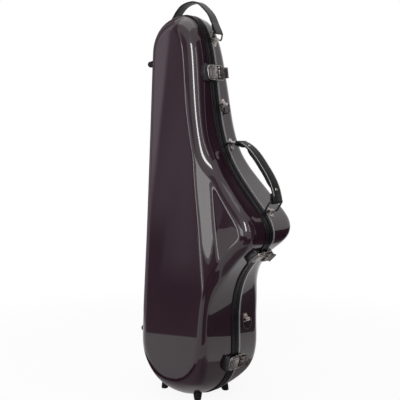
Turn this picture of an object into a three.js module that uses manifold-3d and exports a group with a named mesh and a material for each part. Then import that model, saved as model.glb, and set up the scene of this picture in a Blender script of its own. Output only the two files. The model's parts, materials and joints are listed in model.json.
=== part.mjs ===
// Contoured hard case for a tenor saxophone, standing on its rubber feet.
// Two moulded shells meet at a rim plane, are hinged along the straight spine and held by three
// draw latches. Units are millimetres. While it is built, X = 0 is the spine, Y = 0 the rim plane
// with the lid on the -Y side, and Z = 0 the ground. The finished group has its origin at the
// centre of its footprint.

import * as THREE from "three";
import { mergeVertices } from "three/addons/utils/BufferGeometryUtils.js";
import Module from "manifold-3d";

const wasm = await Module();
wasm.setup();

// Driving dimensions of the moulded shells
const shellWidth = 309;
const shellHeight = 831;
const groundGap = 3;
const wall = 3.5;
const lidDepthTop = 45;
const lidDepthBottom = 105;
const backDepth = 91;
const shoulderRadius = 38;
const spineRadius = 35;
const bulgeRadius = 26;
const backRadius = 26;
const valleyStep = 20;
const bellCrown = 7;
const bellCrownReach = 95;
const flankWidth = 52;
const wallDraft = THREE.MathUtils.degToRad(3);

// Driving dimensions of the rim: black edge trims and the seal between them
const shellEdge = 4;
const trimWidth = 11;
const trimProud = 2.2;
const trimRound = 0.8;
const seamGap = 1.5;
const sealWidth = 4;
const sealInset = 2.5;

// Linings and the pockets for the instrument
const liningEdge = 6;
const liningGap = 0.5;
const pocketFloor = 14;
const lidPocketDepth = 42;
const lidNeckPocketDepth = 22;

// Clearances and thicknesses shared by the fittings
const clearance = 0.3;
const seatOverrun = 14;
const plateThickness = 1.8;
const rivetRadius = 2.6;
const rivetHeight = 1.1;

// Hinges on the spine
const hingeLength = 46;
const hingeKnuckles = 5;
const hingeKnuckleRadius = 4.2;
const hingePinRadius = 1.6;
const hingeLeafReach = 29;

// Draw latches
const latchWidth = 26;
const latchBaseStart = 11.4;
const latchBaseEnd = 31;
const latchPivotDepth = 13.5;
const latchPivotHeight = 8;
const latchPinRadius = 1.5;
const latchHeelRadius = 5;
const latchLeverLength = 17.5;
const latchTipRise = 3.5;
const latchBailReach = 11;
const latchBailDrop = 1;
const latchBailRadius = 1.5;
const latchBailWidth = 30;
const latchBailCorner = 7.5;
const keeperBarDepth = 20;
const keeperLipHeight = 8.2;
const keeperLipWidth = 13;
const keeperPlateWidth = 40;
const keeperPlateHeight = 3.6;
const keeperLength = 9;

// Rings and the saddles that hold them
const strapRingWidth = 25;
const strapRingReach = 20;
const strapRingRadius = 1.8;
const strapRingLift = THREE.MathUtils.degToRad(4);
const strapSaddleWidth = 12;
const handleRingWidth = 40;
const handleRingReach = 25;
const handleRingRadius = 2.1;
const handleSaddleWidth = 14;
const topRingWidth = 32;
const topRingReach = 16;
const topRingRadius = 1.9;
const topSaddleWidth = 12;
const barGap = 0.9;
const saddleTab = 13;
const saddleLip = 4;

// Carrying handles
const handleRise = 16;
const handleStrapThickness = 3.4;
const handleStrapWidth = 27;
const handlePadThickness = 7;
const handlePadWidth = 25;
const upperRingLean = THREE.MathUtils.degToRad(51);
const lowerRingLean = THREE.MathUtils.degToRad(109);
const topStandoff = 8.5;
const topStrapWidth = 23;
const topStrapThickness = 3.6;
const topStrapRise = 72;
const topRingLean = THREE.MathUtils.degToRad(14);

// Rubber feet
const footTipRadius = 7.5;
const footRootRadius = 10.5;
const footSplay = 5;
const bottomFeetLeft = 40;
const bottomFeetRight = 147;
const bottomFeetFront = 43;
const bottomFeetBack = 46;
const sideFootHeight = 20;
const sideFootRadius = 9;
const sideFootTipRadius = 6.5;
const sideFootAboveHinge = 32.4;

// Places along the rim, as shares of the shell's height
const hingeHeightShares = [0.839, 0.56, 0.297];
const latchPlaceShares = [0.845, 0.396, 0.108];
const strapRingHeightShares = [0.766, 0.212];
const strapRingDepthShare = 0.37;
const handleUpperShare = 0.664;
const handleLowerShare = 0.497;
const topRingHeightShare = 0.93;
const sideFootDepthShare = 0.575;
const sideFootLowShare = 0.158;

// Rim outline, clockwise seen from the lid: share of width, share of height, heading in degrees
const rimKnotShares = [
  [0, 0.135, 90],
  [0, 0.909, 90],
  [0.233, 1, 0],
  [0.466, 0.88, -80],
  [0.592, 0.657, -67],
  [0.848, 0.531, -46.5],
  [1, 0.444, -90],
  [0.877, 0.384, -133],
  [0.773, 0.336, -120],
  [0.7055, 0.255, -97],
  [0.702, 0.15, -90],
  [0.35, 0, 180],
];
const topKnot = 2;
const bottomKnot = 11;

// Laws over the height: share of the shell's height, share of the size that they scale
const backDepthStopShares = [
  [0, 1],
  [0.48, 1],
  [0.553, 0.92],
  [0.63, 0.74],
  [0.7, 0.69],
  [0.78, 0.68],
  [0.88, 0.6],
  [0.94, 0.56],
  [1, 0.54],
];
const backSpineRadiusStopShares = [
  [0, 3],
  [0.03, 2.4],
  [0.055, 1.3],
  [0.08, 1],
  [0.6, 1],
  [0.65, 0.85],
  [1, 0.85],
];
const backBellRadiusStopShares = [
  [0, 3],
  [0.03, 2.4],
  [0.055, 1.3],
  [0.08, 1],
  [0.25, 1],
  [0.28, 1.3],
  [0.32, 2],
  [0.36, 2.5],
  [0.4, 2.6],
  [0.43, 1.6],
  [0.47, 0.65],
  [0.56, 0.65],
  [0.65, 0.85],
  [1, 0.85],
];
const spineRadiusStopShares = [
  [0, 2.5],
  [0.03, 2.3],
  [0.07, 1.7],
  [0.12, 1.15],
  [0.18, 1],
  [0.45, 0.95],
  [0.7, 0.77],
  [0.88, 0.62],
  [1, 0.62],
];
const rightShoulderStopShares = [
  [0, 1.05],
  [0.12, 0.6],
  [0.22, 0.4],
  [0.5, 0.66],
  [0.78, 0.95],
  [1, 1],
];
const valleyStopShares = [
  [0.08, 0],
  [0.2, 0.35],
  [0.3, 0.85],
  [0.44, 1],
  [0.58, 0.8],
  [0.7, 0.25],
  [0.8, 0],
];
const creaseLowShares = [0.69, 0.21];
const creaseHighShares = [0.362, 0.86];

// Pockets for the instrument, as shares of the shell's width
const tubePocketRadiusShare = 0.13;
const tubePocketInsetShare = 0.2136;
const neckPocketRadiusShare = 0.097;
const bellPocketRadiusShare = 0.246;
const bowPocketRadiusShare = 0.2;
const coreLowShares = [0.35, 0.14];
const coreHighShares = [0.22, 0.89];
const bellCentreShares = [0.66, 0.44];
const bellSideShare = 0.35;
const bottomRoundShare = 0.117;
const waistShare = 0.53;

// Handles: shares of the grip's length, of the pad's section, and of the top strap's span and rise
const padStartShare = 0.13;
const padSlimShare = 0.72;
const eyeWallShare = 0.7;
const earShare = 1.9;
const topDepthShare = 0.025;
const topStrapShares = [
  [0, 0],
  [0.005, 0.2],
  [0.045, 0.42],
  [0.116, 0.59],
  [0.2, 0.775],
  [0.293, 0.918],
  [0.4, 0.985],
  [0.5, 1],
  [0.5875, 0.985],
  [0.675, 0.905],
  [0.753, 0.785],
  [0.8275, 0.65],
  [0.89, 0.5],
  [0.9425, 0.302],
  [1, 0],
];

// How finely the curved forms are divided
const facetTurn = THREE.MathUtils.degToRad(11.5);
const longestFacetShare = 0.115;
const calmLength = 90;
const skinReachShare = 0.9;
const evenPasses = 3;
const lidRings = 11;
const backRings = 8;
const wireSides = 6;
const cornerSteps = 3;
const roundSides = 16;
const gripSteps = 12;

const sphereTurn = Math.PI * 2;

// A soft step between two values, flat at both ends.
function easeBetween(stops, at) {
  const last = stops.length - 1;
  if (at <= stops[0][0]) return stops[0][1];
  if (at >= stops[last][0]) return stops[last][1];
  const upper = stops.findIndex((stop) => stop[0] > at);
  const [lowAt, lowValue] = stops[upper - 1];
  const [highAt, highValue] = stops[upper];
  return THREE.MathUtils.lerp(lowValue, highValue, (at - lowAt) / (highAt - lowAt));
}

function heightShare(z) {
  return (z - groundGap) / shellHeight;
}

function shellPoint([widthShare, riseShare]) {
  return new THREE.Vector2(widthShare * shellWidth, groundGap + riseShare * shellHeight);
}

// The rim as one smooth chain of cubic curves; each handle has the length that suits its turn.
function rimCurves() {
  return rimKnotShares.map((knot, i) => {
    const next = rimKnotShares[(i + 1) % rimKnotShares.length];
    const start = shellPoint(knot);
    const end = shellPoint(next);
    const from = THREE.MathUtils.degToRad(knot[2]);
    const to = THREE.MathUtils.degToRad(next[2]);
    const turn = Math.atan2(Math.sin(to - from), Math.cos(to - from));
    const reach = start.distanceTo(end) / (3 * Math.cos(turn / 4) ** 2);
    const leave = new THREE.Vector2(Math.cos(from), Math.sin(from)).multiplyScalar(reach);
    const arrive = new THREE.Vector2(Math.cos(to), Math.sin(to)).multiplyScalar(reach);
    const curve = new THREE.CubicBezierCurve(start, start.clone().add(leave), end.clone().sub(arrive), end);
    const byTurn = Math.ceil(Math.abs(turn) / facetTurn);
    const byLength = Math.ceil(curve.getLength() / (longestFacetShare * shellHeight));
    curve.steps = Math.max(byTurn, byLength);
    return curve;
  });
}

// A place on the rim: its point and the direction into the case.
function rimStation(curve, share) {
  const point = curve.getPoint(share);
  const heading = curve.getTangent(share);
  return { point, inward: new THREE.Vector2(heading.y, -heading.x) };
}

const curves = rimCurves();
const stations = [];
const knotStations = [];
for (const curve of curves) {
  knotStations.push(stations.length);
  for (let step = 0; step < curve.steps; step++) stations.push(rimStation(curve, step / curve.steps));
}

// The station on one side of the rim at a height; side is -1 for the spine and 1 for the bell side.
function stationAtHeight(side, share) {
  const wanted = groundGap + share * shellHeight;
  const finer = 80;
  const chain = [];
  curves.forEach((curve, i) => {
    const onRight = i >= topKnot && i < bottomKnot;
    if (onRight !== side > 0) return;
    for (let step = 0; step <= finer; step++) chain.push(rimStation(curve, step / finer));
  });
  const gapTo = (station) => Math.abs(station.point.y - wanted);
  return chain.reduce((best, station) => (gapTo(station) < gapTo(best) ? station : best));
}

// Distance from a point of the rim plane to the rim.
function rimDistance(x, z) {
  let least = Infinity;
  stations.forEach(({ point: a }, i) => {
    const b = stations[(i + 1) % stations.length].point;
    const alongX = b.x - a.x;
    const alongZ = b.y - a.y;
    const share = ((x - a.x) * alongX + (z - a.y) * alongZ) / (alongX ** 2 + alongZ ** 2);
    const t = THREE.MathUtils.clamp(share, 0, 1);
    least = Math.min(least, Math.hypot(x - a.x - t * alongX, z - a.y - t * alongZ));
  });
  return least;
}

// Depth over the distance from the rim: a drafted wall, a rounded shoulder, then the face.
function moulded(distance, rise, radius) {
  const straight = rise - radius;
  const run = (straight - shellEdge) * Math.tan(wallDraft);
  if (distance <= 0) return shellEdge;
  if (distance < run) return THREE.MathUtils.lerp(shellEdge, straight, distance / run);
  const over = Math.min(distance - run, radius);
  return straight + Math.sqrt(radius ** 2 - (radius - over) ** 2);
}

function lineX(lowShares, highShares, z) {
  const low = shellPoint(lowShares);
  const high = shellPoint(highShares);
  return THREE.MathUtils.mapLinear(z, low.y, high.y, low.x, high.x);
}

function rightRadius(z) {
  return shoulderRadius * easeBetween(rightShoulderStopShares, heightShare(z));
}

function leftRadius(z) {
  return spineRadius * easeBetween(spineRadiusStopShares, heightShare(z));
}

// The bottom of the lid is rounded all the way across.
function bottomRadius(z) {
  const fade = THREE.MathUtils.smoothstep(heightShare(z), 0, bottomRoundShare);
  return leftRadius(z) * (1 - fade);
}

function lidRise(z) {
  return THREE.MathUtils.lerp(lidDepthBottom, lidDepthTop, heightShare(z));
}

// The lid's ridge tapers upwards; right of its crease it rolls down to the lower bell bulge.
function lidDepthAt(x, z) {
  const distance = rimDistance(x, z);
  const crease = lineX(creaseLowShares, creaseHighShares, z);
  const toRight = THREE.MathUtils.smoothstep(x, 0, crease);
  const radius = THREE.MathUtils.lerp(leftRadius(z), Math.max(rightRadius(z), bottomRadius(z)), toRight);
  const ridge = moulded(distance, lidRise(z), radius);
  const bell = shellPoint(bellCentreShares);
  const crown = bellCrown * Math.exp(-(((x - bell.x) ** 2 + (z - bell.y) ** 2) / bellCrownReach ** 2));
  const step = valleyStep * easeBetween(valleyStopShares, heightShare(z));
  const bulge = moulded(distance, lidRise(z) - step + crown * (step / valleyStep), bulgeRadius);
  const roll = THREE.MathUtils.smootherstep(x, crease, crease + flankWidth);
  const full = step / valleyStep;
  return THREE.MathUtils.lerp(ridge, bulge, roll * Math.min(1, full * 2));
}

function backRise(z) {
  return backDepth * easeBetween(backDepthStopShares, heightShare(z));
}

// The underside of the bell is rounded far more than the spine wall at the same height.
function backDepthAt(x, z) {
  const share = heightShare(z);
  const spineSide = easeBetween(backSpineRadiusStopShares, share);
  const bellSide = easeBetween(backBellRadiusStopShares, share);
  const toRight = THREE.MathUtils.smoothstep(x, shellWidth * bellSideShare, shellWidth * (1 - bellSideShare));
  const radius = backRadius * THREE.MathUtils.lerp(spineSide, bellSide, toRight);
  return moulded(rimDistance(x, z), backRise(z), radius);
}

// Surfaces are collected as closed rings of points joined by bands of triangles.
class Surface {
  constructor() {
    this.positions = [];
    this.triangles = [];
  }

  ring(points) {
    return points.map((p) => {
      this.positions.push(p.x, p.y, p.z);
      return this.positions.length / 3 - 1;
    });
  }

  // A turned band has the same triangles, seen from its other side.
  band(a, b, turned = false) {
    a.forEach((_, i) => {
      const j = (i + 1) % a.length;
      const corners = [a[i], b[i], a[j], a[j], b[i], b[j]];
      this.triangles.push(...(turned ? corners.reverse() : corners));
    });
  }

  bands(rings, turned = false) {
    for (let i = 1; i < rings.length; i++) this.band(rings[i - 1], rings[i], turned);
  }

  // Closes the first or the last of a run of rings by a fan.
  fan(ring, centre, atStart) {
    const [middle] = this.ring([centre]);
    ring.forEach((corner, i) => {
      const next = ring[(i + 1) % ring.length];
      this.triangles.push(...(atStart ? [middle, corner, next] : [middle, next, corner]));
    });
  }

  // Closes a ring by a pattern of triangles between its corners.
  close(ring, pattern, atStart) {
    for (const triple of pattern) {
      const corners = triple.map((i) => ring[i]);
      this.triangles.push(...(atStart ? corners : corners.reverse()));
    }
  }

  // The finished geometry, with its faces turned outwards.
  geometry() {
    const geometry = new THREE.BufferGeometry();
    geometry.setAttribute("position", new THREE.Float32BufferAttribute(this.positions, 3));
    geometry.setIndex(this.triangles);
    if (signedVolume(geometry) < 0) geometry.setIndex([...this.triangles].reverse());
    geometry.computeVertexNormals();
    return geometry;
  }
}

function signedVolume(geometry) {
  const position = geometry.getAttribute("position");
  const corners = [new THREE.Vector3(), new THREE.Vector3(), new THREE.Vector3()];
  let six = 0;
  for (let i = 0; i < geometry.index.count; i += 3) {
    corners.forEach((corner, k) => corner.fromBufferAttribute(position, geometry.index.getX(i + k)));
    six += corners[0].dot(corners[1].cross(corners[2]));
  }
  return six;
}

// Solids for cutting and joining
function toSolid(geometry) {
  const bare = geometry.clone();
  for (const name of Object.keys(bare.attributes)) if (name !== "position") bare.deleteAttribute(name);
  const merged = mergeVertices(bare, clearance / 1000);
  const vertProperties = merged.attributes.position.array;
  const triVerts = new Uint32Array(merged.index.array);
  return new wasm.Manifold(new wasm.Mesh({ numProp: 3, vertProperties, triVerts }));
}

function toGeometry(solid) {
  const mesh = solid.getMesh();
  const geometry = new THREE.BufferGeometry();
  geometry.setAttribute("position", new THREE.BufferAttribute(new Float32Array(mesh.vertProperties), 3));
  geometry.setIndex(new THREE.BufferAttribute(new Uint32Array(mesh.triVerts), 1));
  geometry.computeVertexNormals();
  return geometry;
}

function joined(geometries) {
  return toGeometry(geometries.map(toSolid).reduce((whole, piece) => whole.add(piece)));
}

function cut(geometry, cutters) {
  const rest = cutters.map(toSolid).reduce((whole, cutter) => whole.subtract(cutter), toSolid(geometry));
  return toGeometry(rest);
}

// Places along a straight way into the case, closest where the moulded profile bends most.
function profilePlaces(start, way, length, depthAt, count) {
  const finer = 90;
  const step = length / finer;
  const depths = Array.from({ length: finer + 1 }, (_, k) =>
    k ? depthAt(start.x + way.x * step * k, start.y + way.y * step * k) : shellEdge,
  );
  const measure = [0];
  let before = null;
  for (let k = 1; k <= finer; k++) {
    const rise = depths[k] - depths[k - 1];
    const heading = Math.atan2(rise, step);
    const turn = before === null ? 0 : Math.abs(heading - before);
    before = heading;
    measure.push(measure[k - 1] + turn + Math.hypot(rise, step) / calmLength);
  }
  return Array.from({ length: count }, (_, i) => {
    const wanted = (measure[finer] * i) / (count - 1);
    const k = Math.max(measure.findIndex((value) => value >= wanted), 1);
    const share = (wanted - measure[k - 1]) / (measure[k] - measure[k - 1]);
    return (k - 1 + share) * step;
  });
}

// Ways from the rim to a core line; all skins of a shell share them and the places along them.
function skinWays() {
  const coreLow = shellPoint(coreLowShares);
  const coreHigh = shellPoint(coreHighShares);
  return stations.map(({ point }) => {
    const level = THREE.MathUtils.clamp(point.y, coreLow.y, coreHigh.y);
    const across = THREE.MathUtils.mapLinear(level, coreLow.y, coreHigh.y, coreLow.x, coreHigh.x);
    return new THREE.Vector2(across, level).sub(point).multiplyScalar(skinReachShare);
  });
}

// Evens out the places of neighbouring ways, so that the rings run smoothly round the case.
function evened(rows) {
  let even = rows;
  for (let pass = 0; pass < evenPasses; pass++) {
    even = even.map((row, i) => {
      const before = even[(i + even.length - 1) % even.length];
      const after = even[(i + 1) % even.length];
      return row.map((share, k) => (before[k] + 2 * share + after[k]) / 4);
    });
  }
  return even;
}

// The outer skin of a shell as rings of points, with the outward direction at each point.
function outerSkin(side, depthAt, count) {
  const ways = skinWays();
  const shares = ways.map((way, i) => {
    const length = way.length();
    const places = profilePlaces(stations[i].point, way.clone().normalize(), length, depthAt, count);
    return places.map((place) => place / length);
  });
  const chains = evened(shares).map((row, i) =>
    row.map((share, k) => {
      const spot = stations[i].point.clone().addScaledVector(ways[i], share);
      return new THREE.Vector3(spot.x, side * (k ? depthAt(spot.x, spot.y) : shellEdge), spot.y);
    }),
  );
  const rings = chains[0].map((_, k) => chains.map((chain) => chain[k]));
  const surface = new Surface();
  const skin = rings.map((ring) => surface.ring(ring));
  surface.bands(skin);
  const pattern = zipPattern(rings.at(-1));
  surface.close(skin.at(-1), pattern, false);
  const normal = surface.geometry().getAttribute("normal");
  const facing = Math.sign(normal.getY(skin.at(-1)[0])) * side;
  const normals = skin.map((ring) => {
    const faces = ring.map((corner) => new THREE.Vector3().fromBufferAttribute(normal, corner));
    return faces.map((face, i) => {
      const before = faces[(i + faces.length - 1) % faces.length];
      const after = faces[(i + 1) % faces.length];
      return face.clone().multiplyScalar(2).add(before).add(after).normalize().multiplyScalar(facing);
    });
  });
  return { rings, normals, pattern, side };
}

// Rings of a skin moved along its outward directions; its edge stays level.
function movedRings(skin, move) {
  return skin.rings.map((ring, k) =>
    ring.map((corner, i) => {
      if (k) return corner.clone().addScaledVector(skin.normals[k][i], move);
      const { x, y } = stations[i].inward;
      return corner.clone().add(new THREE.Vector3(-x * move, 0, -y * move));
    }),
  );
}

// Triangles that close a long ring between its two sides, as triples of station numbers.
function zipPattern(ring) {
  const low = knotStations[bottomKnot];
  const high = knotStations[topKnot];
  const count = ring.length;
  const left = [];
  const right = [];
  for (let i = low; i !== high; i = (i + 1) % count) left.push(i);
  left.push(high);
  for (let i = low; i !== high; i = (i + count - 1) % count) right.push(i);
  right.push(high);
  const pattern = [];
  let i = 0;
  let j = 0;
  while (i < left.length - 1 || j < right.length - 1) {
    const atTop = j === right.length - 1;
    const climbLeft = atTop || (i < left.length - 1 && ring[left[i + 1]].z <= ring[right[j + 1]].z);
    const corners = climbLeft ? [left[i], left[i + 1], right[j]] : [right[j], left[i], right[j + 1]];
    if (climbLeft) i++;
    else j++;
    if (new Set(corners).size === 3) pattern.push(corners);
  }
  return pattern;
}

// A shell of even wall: outer and inner skins joined along the rim.
function shellGeometry(skin) {
  const surface = new Surface();
  const outer = skin.rings.map((ring) => surface.ring(ring));
  const inner = movedRings(skin, -wall).map((ring) => surface.ring(ring));
  surface.bands(inner, true);
  surface.band(inner[0], outer[0]);
  surface.bands(outer);
  surface.close(outer.at(-1), skin.pattern, false);
  surface.close(inner.at(-1), skin.pattern, true);
  return surface.geometry();
}

// The full body inside a moved skin, closed by a flat face near the rim plane.
function filledGeometry(skin, move, faceDepth) {
  const surface = new Surface();
  const rings = movedRings(skin, move);
  const face = rings[0].map((corner) => new THREE.Vector3(corner.x, skin.side * faceDepth, corner.z));
  const body = [face, ...rings.slice(1)].map((ring) => surface.ring(ring));
  surface.bands(body);
  surface.close(body.at(-1), skin.pattern, false);
  surface.close(body[0], zipPattern(face), true);
  return surface.geometry();
}

// A band of constant section that follows the whole rim; its corners are [outward, depth] pairs.
function rimBand(section) {
  const surface = new Surface();
  const rings = section.map(([outward, depth]) =>
    surface.ring(
      stations.map(({ point, inward }) => {
        const place = point.clone().addScaledVector(inward, -outward);
        return new THREE.Vector3(place.x, depth, place.y);
      }),
    ),
  );
  surface.bands([...rings, rings[0]]);
  return surface.geometry();
}

// A round wire bent along a closed flat path of [u, v] points in the plane of the axes u and v.
function wireLoop(path, u, v, radius, origin = new THREE.Vector3()) {
  const surface = new Surface();
  const normal = new THREE.Vector3().crossVectors(u, v).normalize();
  const places = path.map(([a, b]) => origin.clone().addScaledVector(u, a).addScaledVector(v, b));
  const rings = places.map((place, i) => {
    const before = places[(i + places.length - 1) % places.length];
    const after = places[(i + 1) % places.length];
    const backward = new THREE.Vector3().subVectors(place, before).normalize();
    const forward = new THREE.Vector3().subVectors(after, place).normalize();
    const heading = backward.clone().add(forward).normalize();
    const outward = new THREE.Vector3().crossVectors(heading, normal);
    const widen = 1 / heading.dot(forward);
    return surface.ring(
      Array.from({ length: wireSides }, (_, k) => {
        const angle = (k / wireSides) * sphereTurn;
        return place
          .clone()
          .addScaledVector(outward, Math.cos(angle) * radius * widen)
          .addScaledVector(normal, Math.sin(angle) * radius);
      }),
    );
  });
  surface.bands([...rings, rings[0]]);
  return surface.geometry();
}

// Points of a loop with round corners, wide along the first axis and from low to high on the second.
function loopPath(width, low, high, lowRadius, highRadius) {
  const half = width / 2;
  const corner = (cx, cy, radius, from) =>
    Array.from({ length: cornerSteps + 1 }, (_, k) => {
      const angle = THREE.MathUtils.degToRad(from + (90 * k) / cornerSteps);
      return [cx + radius * Math.cos(angle), cy + radius * Math.sin(angle)];
    });
  return [
    ...corner(half - lowRadius, low + lowRadius, lowRadius, -90),
    ...corner(half - highRadius, high - highRadius, highRadius, 0),
    ...corner(-half + highRadius, high - highRadius, highRadius, 90),
    ...corner(-half + lowRadius, low + lowRadius, lowRadius, 180),
  ];
}

// Extrusion of a shape drawn in [u, v] along w, centred on the plane of the shape.
function extruded(shape, depth, u, v, offset = 0, divisions = 4) {
  const geometry = new THREE.ExtrudeGeometry(shape, { depth, bevelEnabled: false, curveSegments: divisions });
  const w = new THREE.Vector3().crossVectors(u, v);
  geometry.translate(0, 0, offset - depth / 2);
  return geometry.applyMatrix4(new THREE.Matrix4().makeBasis(u, v, w));
}

function rectangle(left, bottom, right, top) {
  const shape = new THREE.Shape();
  shape.moveTo(left, bottom).lineTo(right, bottom).lineTo(right, top).lineTo(left, top).closePath();
  return shape;
}

function roundedRectangle(left, bottom, right, top, radius) {
  const shape = new THREE.Shape();
  shape.absarc(right - radius, bottom + radius, radius, -Math.PI / 2, 0);
  shape.absarc(right - radius, top - radius, radius, 0, Math.PI / 2);
  shape.absarc(left + radius, top - radius, radius, Math.PI / 2, Math.PI);
  shape.absarc(left + radius, bottom + radius, radius, Math.PI, Math.PI * 1.5);
  shape.closePath();
  return shape;
}

function circleHole(x, y, radius) {
  const hole = new THREE.Path();
  hole.absarc(x, y, radius, 0, sphereTurn, true);
  return hole;
}

// A band of even thickness along a line of [u, v] points, as a closed shape.
function bandShape(line, thickness) {
  const points = line.map(([a, b]) => new THREE.Vector2(a, b));
  const sides = [1, -1].map((side) =>
    points.map((point, i) => {
      const before = points[Math.max(i - 1, 0)];
      const after = points[Math.min(i + 1, points.length - 1)];
      const heading = after.clone().sub(before).normalize();
      const sideways = new THREE.Vector2(-heading.y, heading.x);
      return point.clone().addScaledVector(sideways, (side * thickness) / 2);
    }),
  );
  return new THREE.Shape([...sides[0], ...sides[1].reverse()]);
}

// Local axes of a fitting on the wall: X out of the wall, Y the depth of the case, Z along the rim.
const outAxis = new THREE.Vector3(1, 0, 0);
const depthAxis = new THREE.Vector3(0, 1, 0);
const rimAxis = new THREE.Vector3(0, 0, 1);

function wallPlace(station, depth) {
  const place = new THREE.Group();
  const outward = new THREE.Vector3(-station.inward.x, 0, -station.inward.y);
  const along = new THREE.Vector3().crossVectors(outward, depthAxis);
  place.quaternion.setFromRotationMatrix(new THREE.Matrix4().makeBasis(outward, depthAxis, along));
  place.position.set(station.point.x, depth, station.point.y);
  place.updateMatrix();
  return place;
}

// Shell bodies grown by the clearance, which give the fittings their seats.
const lidSkin = outerSkin(-1, lidDepthAt, lidRings);
const backSkin = outerSkin(1, backDepthAt, backRings);
const grownLid = filledGeometry(lidSkin, clearance, shellEdge);
const grownBack = filledGeometry(backSkin, clearance, shellEdge);

function seated(geometry, place, grown) {
  return cut(geometry, [grown.clone().applyMatrix4(place.matrix.clone().invert())]);
}

// Materials
function glossShell(color) {
  return new THREE.MeshStandardMaterial({ color, roughness: 0.12, metalness: 0.35 });
}

function rubber() {
  return new THREE.MeshStandardMaterial({ color: 0x141414, roughness: 0.75, metalness: 0 });
}

function gunmetal() {
  return new THREE.MeshStandardMaterial({ color: 0x6b6462, roughness: 0.3, metalness: 0.9 });
}

function blackMetal() {
  return new THREE.MeshStandardMaterial({ color: 0x17161a, roughness: 0.35, metalness: 0.7 });
}

function leather() {
  return new THREE.MeshStandardMaterial({ color: 0x222224, roughness: 0.6, metalness: 0 });
}

function plush() {
  return new THREE.MeshStandardMaterial({ color: 0x2a2a30, roughness: 0.95, metalness: 0 });
}

const shellColor = 0x3a2e34;
const assembly = new THREE.Group();

function addPiece(parent, name, geometry, material) {
  const mesh = new THREE.Mesh(geometry, material);
  mesh.name = name;
  parent.add(mesh);
  return mesh;
}

// Moulded shells
addPiece(assembly, "lid_shell", shellGeometry(lidSkin), glossShell(shellColor));
addPiece(assembly, "back_shell", shellGeometry(backSkin), glossShell(shellColor));

// Edge trims: an angle section that caps the shell's edge and laps its outside
function trimSection(side) {
  const lip = side < 0 ? seamGap : clearance / 2;
  const cap = shellEdge - clearance;
  return [
    [-wall, lip],
    [trimProud, lip],
    [trimProud, trimWidth - trimRound],
    [trimProud - trimRound, trimWidth],
    [clearance, trimWidth],
    [clearance, cap],
    [-wall, cap],
  ].map(([outward, depth]) => [outward, side * depth]);
}
addPiece(assembly, "lid_rim_trim", rimBand(trimSection(-1)), rubber());
addPiece(assembly, "back_rim_trim", rimBand(trimSection(1)), rubber());

// Seal: a strip that lies in the gap between the trims
function sealSection() {
  const near = -clearance / 2;
  const far = clearance - seamGap;
  return [
    [-wall + sealInset - sealWidth / 2, near],
    [-wall + sealInset + sealWidth / 2, near],
    [-wall + sealInset + sealWidth / 2, far],
    [-wall + sealInset - sealWidth / 2, far],
  ];
}
addPiece(assembly, "rim_seal", rimBand(sealSection()), rubber());

// Linings: foam bodies with pockets for the instrument's tube, bow, bell and neck
const tubePocketRadius = shellWidth * tubePocketRadiusShare;
const tubePocketInset = shellWidth * tubePocketInsetShare;
const neckPocketRadius = shellWidth * neckPocketRadiusShare;
const bellPocketRadius = shellWidth * bellPocketRadiusShare;
const bowPocketRadius = shellWidth * bowPocketRadiusShare;

function pocketCutters(side, depth, neckDepth) {
  const u = new THREE.Vector3(1, 0, 0);
  const v = new THREE.Vector3(0, 0, 1);
  const low = shellPoint(coreLowShares);
  const high = shellPoint(coreHighShares);
  const bell = shellPoint(bellCentreShares);
  const waist = groundGap + shellHeight * waistShare;
  const tube = roundedRectangle(
    tubePocketInset - tubePocketRadius,
    low.y - bowPocketRadius,
    tubePocketInset + tubePocketRadius,
    waist,
    tubePocketRadius * 0.7,
  );
  const neck = roundedRectangle(
    tubePocketInset - neckPocketRadius,
    waist - neckPocketRadius,
    tubePocketInset + neckPocketRadius,
    high.y - neckPocketRadius / 2,
    neckPocketRadius * 0.7,
  );
  const bow = roundedRectangle(
    tubePocketInset,
    low.y - bowPocketRadius,
    low.x + bowPocketRadius,
    low.y + bowPocketRadius,
    bowPocketRadius * 0.7,
  );
  const bellRise = new THREE.Shape();
  bellRise.moveTo(low.x, low.y).lineTo(low.x + bowPocketRadius, low.y);
  bellRise.lineTo(bell.x + bellPocketRadius * 0.35, bell.y - bellPocketRadius * 0.6);
  bellRise.absarc(bell.x, bell.y, bellPocketRadius, -Math.PI / 4, Math.PI * 0.75);
  bellRise.lineTo(low.x + tubePocketRadius / 2, bell.y - bellPocketRadius).closePath();
  const slab = (shape, reach) => {
    const length = reach + seatOverrun;
    return extruded(shape, length, u, v, -side * (length / 2 - seatOverrun));
  };
  return [slab(tube, depth), slab(bow, depth), slab(bellRise, depth), slab(neck, neckDepth)];
}

function liningGeometry(skin, depth, neckDepth) {
  const foam = filledGeometry(skin, -wall - liningGap, liningEdge);
  return cut(foam, pocketCutters(skin.side, depth, neckDepth));
}
const basePocketDepth = backDepth - wall - pocketFloor;
const baseNeckPocketDepth = backDepth * 0.45 - wall - pocketFloor / 2;
addPiece(
  assembly,
  "lid_lining",
  liningGeometry(lidSkin, lidPocketDepth, lidNeckPocketDepth),
  plush(),
);
addPiece(
  assembly,
  "base_lining",
  liningGeometry(backSkin, basePocketDepth, baseNeckPocketDepth),
  plush(),
);

// Hinges: two leaves with interleaved knuckles round one pin, outside the spine
const hingeAxisOut = trimProud + clearance + hingeKnuckleRadius;

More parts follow.
